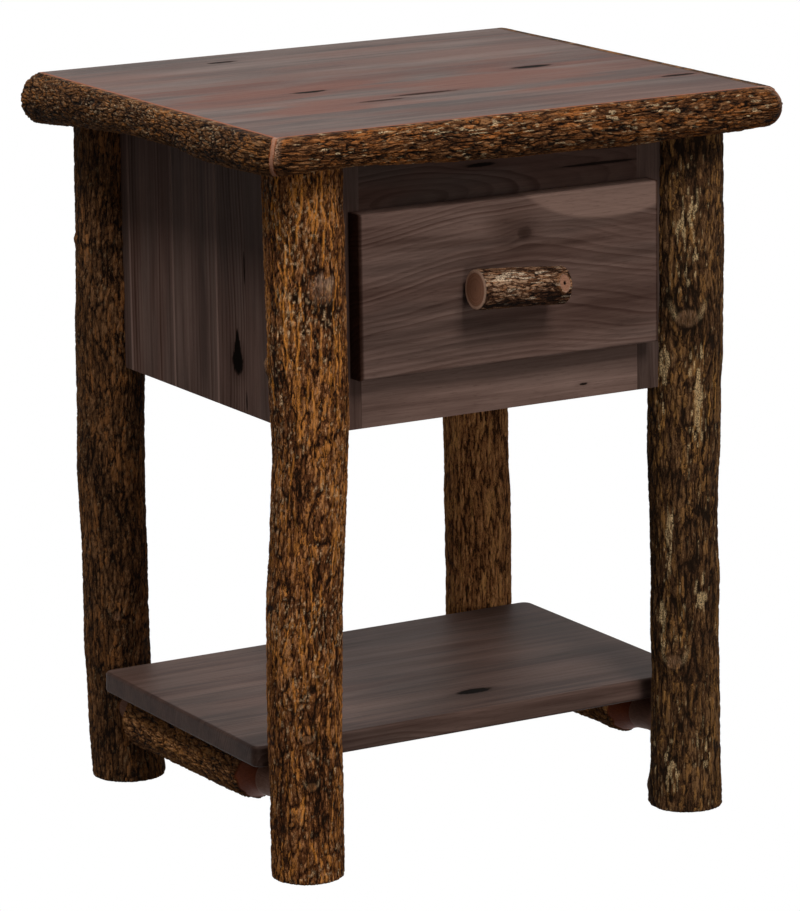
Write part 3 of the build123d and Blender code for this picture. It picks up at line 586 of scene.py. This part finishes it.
legs = {
    "columns": 250,
    "rows": 372,
    "girth": 220.0,                         # round a leg, roughly
    "top": 686.0,
    "notchFrom": 423.0,
    "case": (210.5, -181.7, 221.7),         # half width, front and back of the case
    "bite": 0.3,                            # how deep the notch's faces lie in the case
    "footRound": 2.5,                       # rounding of the feet's rims
    "shiftWay": (0.868, -0.497),            # x and y parts of the way that a station shifts
    "reliefDepth": 2.1,
    "lumpDepth": 2.0,
    "browHeight": 2.4,                      # swelling round an eye, where a branch has healed over
}
wideCrumb = (60.0, 330.0, 330.0)
legPieces = {
    "leg_front_left": dict(
        x=-210.0, y=-174.5, seed=11, crumb=(80.0, 430.0, 430.0),
        stations=[(0, -2.5, 34.0), (140, -2.8, 34.4), (250, -1.5, 34.9), (310, 1.9, 35.2), (400, 6.3, 35.0),
                  (430, 7.0, 36.0), (640, 3.7, 36.8), (686, 3.7, 36.8)],
        knots=[(266, 566, 15, 2.4), (152, 489, 9, 3.0)], eyes=[(245, 142, 6), (250, 96, 6)],
        # the first dim patch is painted shade under the upper knot's bulge
        dim=[(0.78, 0.795, 0.035, 0.014, 0.45), (0.50, 0.695, 0.04, 0.02, 0.3),
             # the last, negative dim patch lightens the leg's top: painted highlight
             (0.66, 0.92, 0.20, 0.10, -0.08)],
        plate=(6.5, 26.0), scale=(3.2, 10.0), sway=12.0, streaks=300, goldShare=0.42,
        gold=[(0.66, 0.89, 0.15, 0.16, 1.0), (0.69, 0.045, 0.10, 0.05, 1.0), (0.74, 0.40, 0.05, 0.08, 0.7),
              (0.62, 0.22, 0.05, 0.06, 0.5)],
        drawn=[(1.7, [(241, 676), (241, 660), (240, 643), (234, 628), (231, 612), (228, 601)]),
               (0.9, [(222, 662), (226, 646), (233, 636)]), (1.0, [(249, 652), (251, 634), (244, 624)]),
               (1.0, [(262, 642), (256, 630), (253, 613)]),
               (1.4, [(270, 680), (270, 659), (269, 642), (279, 622)]),
               (1.6, [(209, 615), (214, 605), (212, 583), (213, 567), (206, 551), (208, 529), (211, 501),
                      (208, 483)]),
               (1.2, [(200, 591), (207, 577), (213, 566)]), (1.0, [(216, 585), (221, 572)]),
               (1.4, [(215, 562), (219, 546), (223, 530), (224, 512)]), (1.0, [(224, 554), (222, 541)]),
               (0.7, [(252, 313), (249, 299)]), (1.0, [(249, 288), (253, 262)]),
               (1.4, [(265, 290), (265, 272), (264, 259)]), (1.0, [(217, 252), (213, 234), (206, 221)]),
               (0.9, [(237, 253), (235, 232), (231, 225)]), (0.9, [(265, 231), (263, 218), (258, 207)]),
               (1.0, [(276, 215), (272, 204)])],
        paleShare=0.20,
        # the first pale patch gathers pale flecks at the leg's top: partly pale bark, partly painted
        # highlight
        pale=[(0.66, 0.90, 0.14, 0.12, 0.15), (0.60, 0.60, 0.06, 0.05, 0.08),
              (0.768, 0.829, 0.016, 0.009, 0.9)],
        tones=dict(Deep=(34, 20, 11), Ground=(114, 68, 38), Ridge=(206, 143, 92), Streak=(255, 164, 70),
                   Fleck=(240, 198, 150))),
    "leg_front_right": dict(
        x=210.0, y=-174.5, seed=12, crumb=wideCrumb,
        stations=[(0, 0.3, 36.0), (10, 0.4, 35.8), (40, 0.9, 33.6), (190, 0.0, 33.2), (280, -1.0, 33.1),
                  (340, -1.5, 34.4), (400, -0.5, 35.2), (580, 1.5, 36.2), (640, 1.0, 35.2),
                  (686, 1.0, 35.2)],
        knots=[(147, 20, 9, 2.0)], eyes=[(240, 492, 13), (218, 152, 11)],
        plate=(7.5, 44.0), scale=(3.4, 15.0), sway=10.0, streaks=150, goldShare=0.3,
        gold=[(0.79, 0.72, 0.045, 0.25, 0.9), (0.56, 0.58, 0.03, 0.10, 0.7), (0.70, 0.57, 0.03, 0.06, 0.8)],
        # the first two dim patches are painted shade, down the side beside the case and round the top under
        # the edge log; the rest are darker bark
        dim=[(0.47, 0.85, 0.07, 0.15, 0.30), (0.66, 0.97, 0.20, 0.05, 0.25), (0.66, 0.77, 0.05, 0.05, 0.22),
             (0.60, 0.50, 0.08, 0.05, 0.25), (0.75, 0.44, 0.08, 0.05, 0.2), (0.60, 0.30, 0.08, 0.05, 0.2)],
        paleShare=0.12, paleRun=8.0,
        pale=[(0.585, 0.40, 0.022, 0.040, 0.85), (0.740, 0.315, 0.026, 0.018, 0.95),
              (0.640, 0.262, 0.022, 0.020, 0.75), (0.540, 0.280, 0.018, 0.035, 0.70),
              (0.585, 0.060, 0.030, 0.040, 0.45), (0.750, 0.080, 0.030, 0.050, 0.40),
              (0.66, 0.84, 0.05, 0.08, 0.46), (0.56, 0.63, 0.03, 0.05, 0.60),
              (0.71, 0.60, 0.03, 0.05, 0.65)],
        tones=dict(Deep=(38, 26, 17), Ground=(90, 61, 39), Ridge=(150, 110, 72), Streak=(200, 142, 76),
                   Fleck=(240, 204, 150))),
    "leg_back_left": dict(
        x=-210.0, y=214.5, seed=13, crumb=wideCrumb,
        stations=[(0, 6.5, 36.4), (10, 6.3, 36.0), (60, 1.5, 33.6), (130, -2.1, 32.2), (250, -2.3, 32.5),
                  (310, -3.7, 33.4), (400, -1.2, 33.3), (460, -0.6, 33.1), (640, 2.0, 32.7),
                  (686, 2.0, 32.7)],
        eyes=[(245, 172, 7)], scar=(548.0, 1.6),
        plate=(6.5, 28.0), scale=(3.2, 10.0), sway=10.0, streaks=90, goldShare=0.2,
        gold=[(0.62, 0.5, 0.06, 0.3, 0.15), (0.66, 0.1, 0.06, 0.1, 0.2)],
        paleShare=0.12, pale=[(0.66, 0.16, 0.08, 0.1, 0.06)],
        tones=dict(Deep=(32, 20, 13), Ground=(98, 66, 42), Ridge=(160, 114, 76), Streak=(194, 124, 66),
                   Fleck=(176, 146, 110))),
    "leg_back_right": dict(
        x=210.0, y=214.5, seed=14, crumb=(60.0, 360.0, 360.0),
        stations=[(0, -0.5, 34.2), (220, -0.5, 33.8), (310, -2.0, 33.9), (686, 0.5, 34.0)],
        knots=[(60, 300, 10, 1.8)],
        plate=(5.5, 50.0), scale=(2.8, 18.0), sway=6.0, streaks=120, goldShare=0.28,
        gold=[(0.70, 0.5, 0.1, 0.4, 0.15)],
        paleShare=0.06, pale=[],
        # tones far lighter than the other legs': painted light, making up for the shade under the case
        tones=dict(Deep=(70, 43, 24), Ground=(190, 126, 78), Ridge=(250, 184, 118), Streak=(252, 184, 106),
                   Fleck=(224, 168, 108))),
}


def makeLeg(name, spec):
    # ring at height z: centre(z) + (radius(z) + bark(turn, z)) (cos turn, sin turn), less the case's corner
    top, girth, footRound = legs["top"], legs["girth"], legs["footRound"]
    low = int(legs["rows"] * legs["notchFrom"] / top)
    foot = np.array([0.0, 0.15, 0.5, 1.0, 1.7])
    heights = np.concatenate([foot, np.linspace(footRound, legs["notchFrom"], low),
                              np.linspace(legs["notchFrom"], top, legs["rows"] - low)])
    around, height = np.meshgrid(np.arange(legs["columns"]) / legs["columns"], heights)
    shift = easedCurve(height, spec["stations"], 14.0)
    radius = easedCurve(height, spec["stations"], 10.0, column=2)
    relief, lumps, gold, pale = barkFields(around, height / top, girth, top, spec, spec["seed"] * 100)
    knot = np.zeros_like(around)
    bump = legs["reliefDepth"] * (relief - 0.62) + legs["lumpDepth"] * (lumps - 0.5)
    for degrees, z, size, rise in spec.get("knots", []):
        turn = turnGap(around, degrees / 360) * girth
        fall = np.exp(-(turn / size) ** 2 - ((height - z) / (size * 0.9)) ** 2 - 1.6 * (relief - 0.6))
        bump = bump + rise * fall
        lit = 0.40 + 0.45 * ease((turn + height - z) / size, -0.6, 0.9)
        knot = np.maximum(knot, ease(fall, 0.35, 0.75) * lit)
        relief = relief - 0.30 * np.exp(-((fall - 0.22) / 0.12) ** 2)
    for degrees, z, size in spec.get("eyes", []):
        turn = turnGap(around, degrees / 360) * girth / size
        rise = (height - z) / size
        distance = np.hypot(turn, rise * 1.25)
        brow = np.exp(-((np.abs(turn) - 0.85 - 0.4 * rise) / 0.20) ** 2)
        brow = brow * ease(rise, -0.3, 0.1) * (1 - ease(rise, 0.7, 1.5))
        inside = (1 - ease(distance, 0.60, 0.95)) * (0.4 + 0.9 * relief)
        clear = 1 - ease(2.2 - distance, 0.0, 0.8)
        bump = bump + legs["browHeight"] * np.exp(-(distance / 1.5) ** 2) - 1.2 * inside + 0.8 * brow
        pale = np.maximum(pale * clear, 0.55 * brow)
        gold = gold * clear + 0.22 * inside
        knot = np.maximum(knot, 0.36 * inside)
        rim = np.exp(-((distance - 0.95) / 0.14) ** 2)
        relief = relief - 0.35 * rim - 0.14 * np.exp(-(distance / 2.0) ** 2)
    if "scar" in spec:                      # a ring round the leg: height and rise
        bump = bump + spec["scar"][1] * np.exp(-((height - spec["scar"][0] - 3 * (lumps - 0.5)) / 3.5) ** 2)
    inFoot = np.clip(footRound - height, 0, None)
    radius = radius + bump - (footRound - np.sqrt(footRound ** 2 - inFoot ** 2))
    angle = around * 2 * np.pi
    x = spec["x"] + shift * legs["shiftWay"][0] + radius * np.cos(angle)
    y = spec["y"] + shift * legs["shiftWay"][1] + radius * np.sin(angle)
    x, y, startX, startY = notchPole(x, y, spec, low + len(foot))
    fields = dict(relief=relief, gold=gold, pale=pale, knot=knot, cut=np.where(height < 0.5, 1.0, 0.0))
    last = (startX * mm, startY * mm, top * mm)
    placeBark(name, np.stack([x, y, height], axis=-1) * mm, "zxy", spec, fields, last=last)


def notchPole(x, y, spec, firstRow):
    # from the case's underside up, points in the case slide back to its faces, on rays from a point outside
    half, front, back = legs["case"]
    sideSign, endSign = np.sign(spec["x"]), np.sign(spec["y"])
    face = back if endSign > 0 else front
    outX = sideSign * x - half + legs["bite"]
    outY = endSign * (y - face) + legs["bite"]
    start = 3.0                             # how far outside both faces the rays start
    with np.errstate(divide="ignore", invalid="ignore"):
        share = np.maximum(start / (start - outX), start / (start - outY))
    inside = (outX < 0) & (outY < 0)
    inside[:firstRow] = False
    startX = sideSign * (half - legs["bite"] + start)
    startY = face + endSign * (start - legs["bite"])
    x = np.where(inside, startX + share * (x - startX), x)
    y = np.where(inside, startY + share * (y - startY), y)
    return x, y, startX, startY


# half log edging: stations are (distance along the board's edge, height, reach short of full) in mm

edging = {
    "top": 711.0,
    "reach": 25.0,
    "girth": 110.0,                         # round the bark of one log, roughly
    "turned": 0.62,                         # share of a whole log's turn that the bark covers
    "rim": 0.2,                             # circle's radius over half the log's height
    "endRadius": 7.0,                       # rounding of the back ends
    "flat": 6,                              # points across the top, up the board's side and round the bark
    "inner": 4,
    "arc": 112,
    "reliefDepth": 2.6,
    "lumpDepth": 1.6,
    "bandHalf": 2.3,                        # half width of the smooth band along each mitre
    "bareHalf": 5.0,                        # half width of the part beside it that lost its bark
    "planed": 3.2,                          # width of the planed wood seen on top, the rest is bark again
}
sideLog = dict(run=(0.0, 1.0), length=477.0, rows=560, bend=-0.8, sway=9.0,
               gold=[(0.45, 0.5, 0.1, 0.6, 0.25)])
edgePieces = {
    "edge_log_front": dict(
        seed=31, origin=(-259.0, -226.0), run=(1.0, 0.0), out=(0.0, -1.0), length=518.0, rows=610,
        corners=(44.0, 30.0), bare=1.0, bend=0.8,
        stations=[(0, 34, 0), (70, 32, 1.5), (240, 40, 0.5), (360, 41, 0), (460, 39.5, 0.5), (518, 38, 0)],
        plate=(5.5, 30.0), scale=(3.0, 10.0), sway=9.0, streaks=90, goldShare=0.22,
        gold=[(0.45, 0.6, 0.12, 0.6, 0.3)],
        crumb=(75.0, 400.0, 400.0), paleRun=7.0, paleShare=0.15,
        pale=[(0.15, 0.3, 0.12, 0.12, 0.16), (0.12, 0.7, 0.1, 0.3, 0.10)],
        tones=dict(Deep=(18, 11, 7), Ground=(85, 52, 30), Ridge=(154, 108, 70), Streak=(196, 114, 50),
                   Fleck=(220, 190, 148), Wood=(164, 88, 44), Rim=(176, 128, 104))),
    "edge_log_left": dict(
        sideLog, seed=32, origin=(-259.0, -226.0), out=(-1.0, 0.0), corners=(44.0, None),
        stations=[(0, 34, 0), (110, 37, 0.8), (180, 32, 2.5), (266, 32.6, 2.2), (341, 37.5, 1.2),
                  (416, 44, 0.4), (477, 50.5, 0)],
        plate=(6.0, 18.0), scale=(3.2, 8.0), streaks=30, goldShare=0.15,
        paleShare=0.14, pale=[(0.15, 0.4, 0.16, 0.5, 0.10)],
        tones=dict(Deep=(20, 13, 9), Ground=(82, 53, 32), Ridge=(150, 108, 72), Streak=(190, 118, 54),
                   Fleck=(200, 170, 134), Wood=(164, 88, 44), Rim=(176, 128, 104))),
    "edge_log_right": dict(
        sideLog, seed=33, origin=(259.0, -226.0), out=(1.0, 0.0), corners=(30.0, None), calm=0.16,
        stations=[(0, 38, 0), (120, 38, 1.0), (240, 35, 2.0), (360, 37, 1.0), (477, 41.5, 0)],
        plate=(6.0, 22.0), scale=(3.2, 9.0), streaks=40, goldShare=0.18,
        paleShare=0.2, pale=[(0.15, 0.5, 0.14, 0.5, 0.12)],
        tones=dict(Deep=(18, 11, 7), Ground=(88, 58, 35), Ridge=(164, 120, 82), Streak=(200, 128, 56),
                   Wood=(84, 56, 40), Rim=(176, 128, 104))),
}


def cornerReach(s, radius):
    # lean of the section plane towards the mitre, and share of the full reach to the plan's rounded corner
    full = edging["reach"]
    inset = radius - full
    lean = np.clip(1 - s / inset, 0, 1)
    a, b = 1 + lean ** 2, inset - lean * (s - inset)
    c = (np.minimum(s, inset) - inset) ** 2 + inset ** 2 - radius ** 2
    return lean, (-b + np.sqrt(b * b - a * c)) / a / full


def makeEdgeLog(name, spec):
    # section: up the board's side, out over the planed top, down and back round a circle
    full, length, endRadius = edging["reach"], spec["length"], edging["endRadius"]
    s = np.linspace(0, length, spec["rows"])
    if not spec["corners"][1]:
        s = np.concatenate([s[:-11], length - np.array([9, 7.5, 6, 4.6, 3.4, 2.4, 1.6, 0.9, 0.4, 0.12, 0])])
    tall = easedCurve(s, spec["stations"], 16.0)
    short = easedCurve(s, spec["stations"], 16.0, column=2)
    leanStart, share = cornerReach(s, spec["corners"][0])
    lean = -leanStart
    if spec["corners"][1]:
        leanEnd, shareEnd = cornerReach(length - s, spec["corners"][1])
        lean, share = lean + leanEnd, np.minimum(share, shareEnd)
    else:
        left = np.clip(endRadius - (length - s), 0, None)
        share = share * (full - endRadius + np.sqrt(endRadius ** 2 - left ** 2)) / full
    ring = tall / 2 + edging["rim"]
    middleOut, middleDown = (full - short - ring)[:, None], (ring - tall)[:, None]
    first = np.arcsin((tall - ring) / ring)[:, None]
    final = -np.arccos(np.clip(-middleOut / ring[:, None], -1, 1))
    t = np.linspace(0, 1, edging["arc"])
    angle = first + (final - first) * t
    arcOut = middleOut + ring[:, None] * np.cos(angle)
    arcUp = middleDown + ring[:, None] * np.sin(angle)
    flat = np.linspace(0, 1, edging["flat"], endpoint=False)
    inner = np.linspace(0, 1, edging["inner"], endpoint=False)
    straight = np.zeros(len(inner) + len(flat))
    out = np.concatenate([np.zeros((len(s), len(inner))), arcOut[:, :1] * flat, arcOut], axis=1)
    up = np.concatenate([arcUp[:, -1:] * (1 - inner), np.zeros((len(s), len(flat))), arcUp], axis=1)
    onArc = np.concatenate([straight, np.ones(len(t))])
    where = np.concatenate([straight, t])
    around, along = np.meshgrid(where * edging["turned"], s / length)
    relief, lumps, gold, pale = barkFields(around, along, edging["girth"], length, spec, spec["seed"] * 100)
    fade = onArc * ease(where, 0.005, spec.get("calm", 0.05)) * (1 - ease(where, 0.95, 1.0))
    band = mitreBand(s, lean, out, spec, edging["bandHalf"] + spec["bend"] * np.sin(9.0 * where), 1.2)
    bare = mitreBand(s, lean, out, spec, edging["bareHalf"], 6.0) * spec.get("bare", 0.0)
    bare = bare * (1 - ease(where, 0.25, 0.6))
    rise = edging["reliefDepth"] * (relief - 0.6) + edging["lumpDepth"] * (lumps - 0.5)
    rise = rise * fade * (1 - band) * (1 - 0.7 * bare)
    normal = np.concatenate([np.zeros((len(s), len(straight))), angle], axis=1)
    out = np.clip(out + rise * np.cos(normal), 0, None) * share[:, None]
    up = np.minimum(up + rise * np.sin(normal), 0)
    planed = 1 - ease(out, edging["planed"] - 0.6, edging["planed"] + 0.6)
    planed = np.where(up > -tall[:, None] / 2, planed, 1 - onArc)
    walked = s[:, None] + lean[:, None] * out
    x, y = (spec["origin"][n] + spec["run"][n] * walked + spec["out"][n] * out for n in (0, 1))
    grid = np.stack([x, y, edging["top"] + up], axis=-1) * mm
    cut = np.maximum(planed, band)
    fields = dict(relief=relief, gold=gold, pale=pale, knot=bare * 0.85, cut=cut, ring=band)
    placeBark(name, grid, "xyz" if spec["run"][0] else "yxz", spec, fields)


def mitreBand(s, lean, out, spec, half, edge):
    # 1 within half of a mitre plane: its distance is (s + (1 - lean) out) / root 2
    distance = (s[:, None] + (1 - np.clip(-lean, 0, 1))[:, None] * out) / np.sqrt(2)
    if spec["corners"][1]:
        fromEnd = (spec["length"] - s[:, None] + (1 - np.clip(lean, 0, 1))[:, None] * out) / np.sqrt(2)
        distance = np.minimum(distance, fromEnd)
    return 1 - ease(distance, half, half + edge)


# stretchers: barked poles with peeled ends; stations are (y, radius) in mm

stretchers = {
    "columns": 200,
    "rows": 330,
    "girth": 160.0,
    "ends": (-166.0, 206.0),
    "barked": (-76.0, 154.0),
    "tenonHeight": 76.3,
    "shelfUnder": 99.9,
    "reliefDepth": 3.0,
    "stations": [(-166, 16.0), (-118, 16.0), (-108, 17.2), (-94, 21.0), (-80, 24.0), (-72, 25.2), (60, 26.6),
                 (152, 28.0), (158, 24.0), (166, 18.0), (172, 16.0), (206, 16.0)],
    "bark": dict(
        plate=(6.0, 24.0), scale=(3.2, 9.0), sway=9.0, streaks=60, goldShare=0.3, gold=[],
        paleShare=0.08, pale=[],
        tones=dict(Deep=(30, 20, 12), Ground=(130, 84, 50), Ridge=(218, 158, 104), Streak=(226, 152, 80),
                   Wood=(136, 66, 36), Rim=(172, 128, 110))),
}


def makeStretcher(name, x, seed):
    # ring at y: radius(y) plus bark where it has any, held down under the shelf
    spec = stretchers
    start, stop = spec["ends"]
    turns = np.arange(spec["columns"]) / spec["columns"]
    around, place = np.meshgrid(turns, np.linspace(start, stop, spec["rows"]))
    along, length = (place - start) / (stop - start), stop - start
    relief, lumps, gold, pale = barkFields(around, along, spec["girth"], length, spec["bark"], seed * 100)
    ragged = place + 5.0 * (cloud(around, place * 0, (24, 1), seed) - 0.5)
    front, back = spec["barked"]
    bark = ease(ragged, front - 0.8, front + 0.8) * (1 - ease(ragged, back - 0.8, back + 0.8))
    radius = easedCurve(place, spec["stations"], 1.6)
    lumped = 1.2 * (lumps - 0.5) * ease(radius, 16.5, 20)
    radius = radius + bark * (1.2 + spec["reliefDepth"] * (relief - 0.6)) + lumped
    smooth = easedCurve(place, spec["stations"], 8.0)
    middle = spec["tenonHeight"] + (spec["shelfUnder"] - smooth - spec["tenonHeight"]) * ease(smooth, 17, 24)
    angle = around * 2 * np.pi
    z = np.minimum(middle + radius * np.sin(angle), spec["shelfUnder"])
    grid = np.stack([x + radius * np.cos(angle), place, z], axis=-1) * mm
    fields = dict(relief=relief, gold=gold, pale=pale, cut=1 - bark, ring=1 - ease(radius, 18.0, 21.0))
    placeBark(name, grid, "yxz", spec["bark"], fields)


# twig handle: bark between two sawn faces, with a cut side branch

twig = {
    "length": 95.0,
    "girth": 112.0,
    "radii": (18.9, 17.3),                  # at the left and right end
    "centre": (-6.0, -224.6, 547.0),
    "tilt": 3.6,
    "columns": 220,
    "rows": 170,
    "seed": 41,
    "reliefDepth": 1.1,
    "endRound": 1.2,                        # rounding of the sawn faces' rims
    "stub": (31.9, 164.5, 8.0, 20.3),       # root along the twig, angle from +y, radius, reach of its face
    "stubLean": (0.306, 0.952),             # along and across parts of the stub's direction
    "stubAround": 18.0,                     # millimetres of bark for each radian round the twig there
    "bark": dict(
        plate=(4.5, 26.0), scale=(2.4, 8.0), sway=5.0, streaks=26, goldShare=0.12, gold=[], paleShare=0.12,
        # the dim patch is painted shade along the handle's underside
        paleRun=9.0, pale=[(0.40, 0.42, 0.08, 0.40, 0.42)], dim=[(0.61, 0.5, 0.09, 0.7, 0.24)],
        crumb=(60.0, 420.0, 420.0), warmth=0.35,
        tones=dict(Deep=(26, 16, 11), Ground=(82, 53, 37), Ridge=(178, 141, 111), Streak=(190, 128, 84),
                   Fleck=(236, 208, 176), Wood=(180, 132, 107), Rim=(226, 188, 164))),
}


def makeTwig():
    # rings out from the left face's middle, along the bark and in over the right face, with a flat stub
    length, half, endRound = twig["length"], twig["length"] / 2, twig["endRound"]
    faceIn = np.array([0.08, 0.2, 0.35, 0.5, 0.65, 0.78, 0.88])
    corner = np.linspace(0, np.pi / 2, 5)
    faceX = np.concatenate([np.full(len(faceIn), -half), -half + endRound * (1 - np.cos(corner))])
    middleX = np.linspace(-half + endRound, half - endRound, twig["rows"])[1:-1]
    x = np.concatenate([faceX, middleX, -faceX[::-1]])
    dip = np.concatenate([np.full(len(faceIn), endRound), endRound * (1 - np.sin(corner))])
    dip = np.concatenate([dip, np.zeros(len(middleX)), dip[::-1]])
    within = np.concatenate([faceIn, np.ones(2 * len(corner) + len(middleX)), faceIn[::-1]])
    around, along = np.meshgrid(np.arange(twig["columns"]) / twig["columns"], x)
    radius = ((np.interp(x, (-half, half), twig["radii"]) - dip) * within)[:, None]
    relief, lumps, gold, pale = barkFields(around, along / length + 0.5, twig["girth"], length, twig["bark"],
                                           twig["seed"] * 100)
    fromEnd = half - np.abs(along)
    root, degrees, stubRadius, reach = twig["stub"]
    leanAlong, leanAcross = twig["stubLean"]
    turn = turnGap(around, degrees / 360) * 2 * np.pi
    plane = (reach - leanAlong * (along - root)) / (leanAcross * np.cos(np.clip(turn, -0.9, 0.9)))
    distance = np.hypot((along - root - leanAlong * reach) / leanAcross, turn * twig["stubAround"])
    stub = 1 - ease(distance, stubRadius - 0.2, stubRadius + 2.0)
    stubFace = 1 - ease(distance, stubRadius - 0.9, stubRadius - 0.4)
    pith = 1 - ease(distance, 1.4, 2.3)
    collar = np.exp(-((distance - stubRadius - 0.6) / 0.9) ** 2)
    bump = twig["reliefDepth"] * (relief - 0.6) + 1.0 * (lumps - 0.5) + 0.5 * collar
    bump = bump * (1 - stub) + (plane - radius) * stub - 1.8 * pith
    radius = radius + ease(fromEnd, 0.2, 1.6) * bump
    cut = np.maximum(1 - ease(fromEnd, 0.1, 0.9), stubFace)
    fields = dict(relief=relief, gold=np.maximum(gold, 0.5 * collar), pale=pale, cut=cut)
    fields = {key: field * (1 - pith) for key, field in fields.items()}
    fields["ring"] = np.where(stubFace > 0, distance / stubRadius, within[:, None])
    angle, tilt = around * 2 * np.pi, np.radians(twig["tilt"])
    y, z = radius * np.cos(angle), radius * np.sin(angle)
    x, z = along * np.cos(tilt) + z * np.sin(tilt), z * np.cos(tilt) - along * np.sin(tilt)
    grid = (np.stack([x, y, z], axis=-1) + np.array(twig["centre"])) * mm
    placeBark("knob", grid, "xyz", twig["bark"], fields, "drawer")


# room: pale floor, soft lamps, camera

room = {
    "floorSize": 14.0,
    "floorColour": (0.08, 0.08, 0.08, 1.0),
    "skyStrength": 0.10,
    "lamps": [                              # name, place, size and power
        ("keyLamp", (0.15, -2.2, 2.7), 1.1, 41.0),
        ("lowLamp", (-0.25, -3.2, 0.55), 0.9, 13.0),
        ("leftLamp", (-1.35, -0.5, 2.9), 0.8, 34.0),
        ("backLamp", (0.2, 2.4, 2.8), 2.0, 14.0),
    ],
    "aim": (0.0, 0.0, 0.4),
}


def makeRoom():
    # floor and sky look white to the camera and in reflections, and are darker for everything else
    half = room["floorSize"] / 2
    mesh = bpy.data.meshes.new("floor")
    corners = [(-half, -half, 0), (half, -half, 0), (half, half, 0), (-half, half, 0)]
    mesh.from_pydata(corners, [], [(0, 1, 2, 3)])
    floor = bpy.data.objects.new("floor", mesh)
    bpy.context.scene.collection.objects.link(floor)
    material, tree, shader = newMaterial("floorPaper", 0.0)
    shader.inputs["Base Color"].default_value = room["floorColour"]
    shader.inputs["Roughness"].default_value = 0.9
    white = addNode(tree, "Emission", {"Color": (1, 1, 1, 1), "Strength": 1.0})[0]
    blend = addNode(tree, "MixShader", {0: seenRays(tree), 1: Wire(shader.outputs[0]), 2: white})[0]
    tree.links.new(blend.socket, tree.nodes["Material Output"].inputs[0])
    mesh.materials.append(material)
    world = bpy.context.scene.world or bpy.data.worlds.new("studio")
    bpy.context.scene.world = world
    world.use_nodes = True
    tree = world.node_tree
    tree.nodes.clear()
    strength = spread(seenRays(tree), 0.0, 1.0, room["skyStrength"], 1.0, "LINEAR")
    sky = addNode(tree, "Background", {0: (1, 1, 1, 1), 1: strength})[0]
    addNode(tree, "OutputWorld", {0: sky})
    for name, place, size, power in room["lamps"]:
        lamp = bpy.data.lights.new(name, "AREA")
        lamp.shape, lamp.size, lamp.energy = "DISK", size, power
        addHolder(name, lamp, turnedTo(place, np.array(room["aim"]) - np.array(place)))


def seenRays(tree):
    # 1 for rays from the camera, off glossy surfaces and through clear ones
    path = addNode(tree, "LightPath")
    seen = calc("MAXIMUM", path["Is Camera Ray"], path["Is Glossy Ray"])
    return calc("MAXIMUM", seen, path["Is Transmission Ray"])


def turnedTo(place, way):
    # matrix whose -z looks along way, with x level
    way = way / np.linalg.norm(way)
    side = np.cross(way, (0.0, 0.0, 1.0))
    side = side / np.linalg.norm(side)
    up = np.cross(side, way)
    return Matrix([(side[n], up[n], -way[n], place[n]) for n in range(3)] + [(0, 0, 0, 1)])


def addHolder(name, data, matrix):
    # an object for a lamp or the camera
    holder = bpy.data.objects.new(name, data)
    bpy.context.scene.collection.objects.link(holder)
    holder.matrix_world = matrix
    return holder


view = {
    "place": (-2.2744, -3.9350, 1.4056),
    "yaw": 29.77,
    "down": 13.04,
    "roll": -0.84,
    "lens": 189.35,
    "shift": (0.0170, -0.0111),
}


def makeCamera():
    yaw, down, roll = np.radians([view["yaw"], view["down"], view["roll"]])
    way = np.array([np.sin(yaw) * np.cos(down), np.cos(yaw) * np.cos(down), -np.sin(down)])
    camera = bpy.data.cameras.new("camera")
    camera.lens, camera.sensor_width = view["lens"], 36.0
    camera.shift_x, camera.shift_y = view["shift"]
    camera.clip_start, camera.clip_end = 0.1, 60.0
    matrix = turnedTo(view["place"], way) @ Matrix.Rotation(roll, 4, "Z")
    bpy.context.scene.camera = addHolder("camera", camera, matrix)


makeCamera()
dressBoards()
dressSteel()
for legName, legSpec in legPieces.items():
    makeLeg(legName, legSpec)
print("legs made")
for logName, logSpec in edgePieces.items():
    makeEdgeLog(logName, logSpec)
print("edging made")
makeStretcher("stretcher_left", -210.0, 51)
makeStretcher("stretcher_right", 210.0, 52)
makeTwig()
print("stretchers and twig made")
makeRoom()
bpy.context.scene.view_settings.view_transform = "Standard"
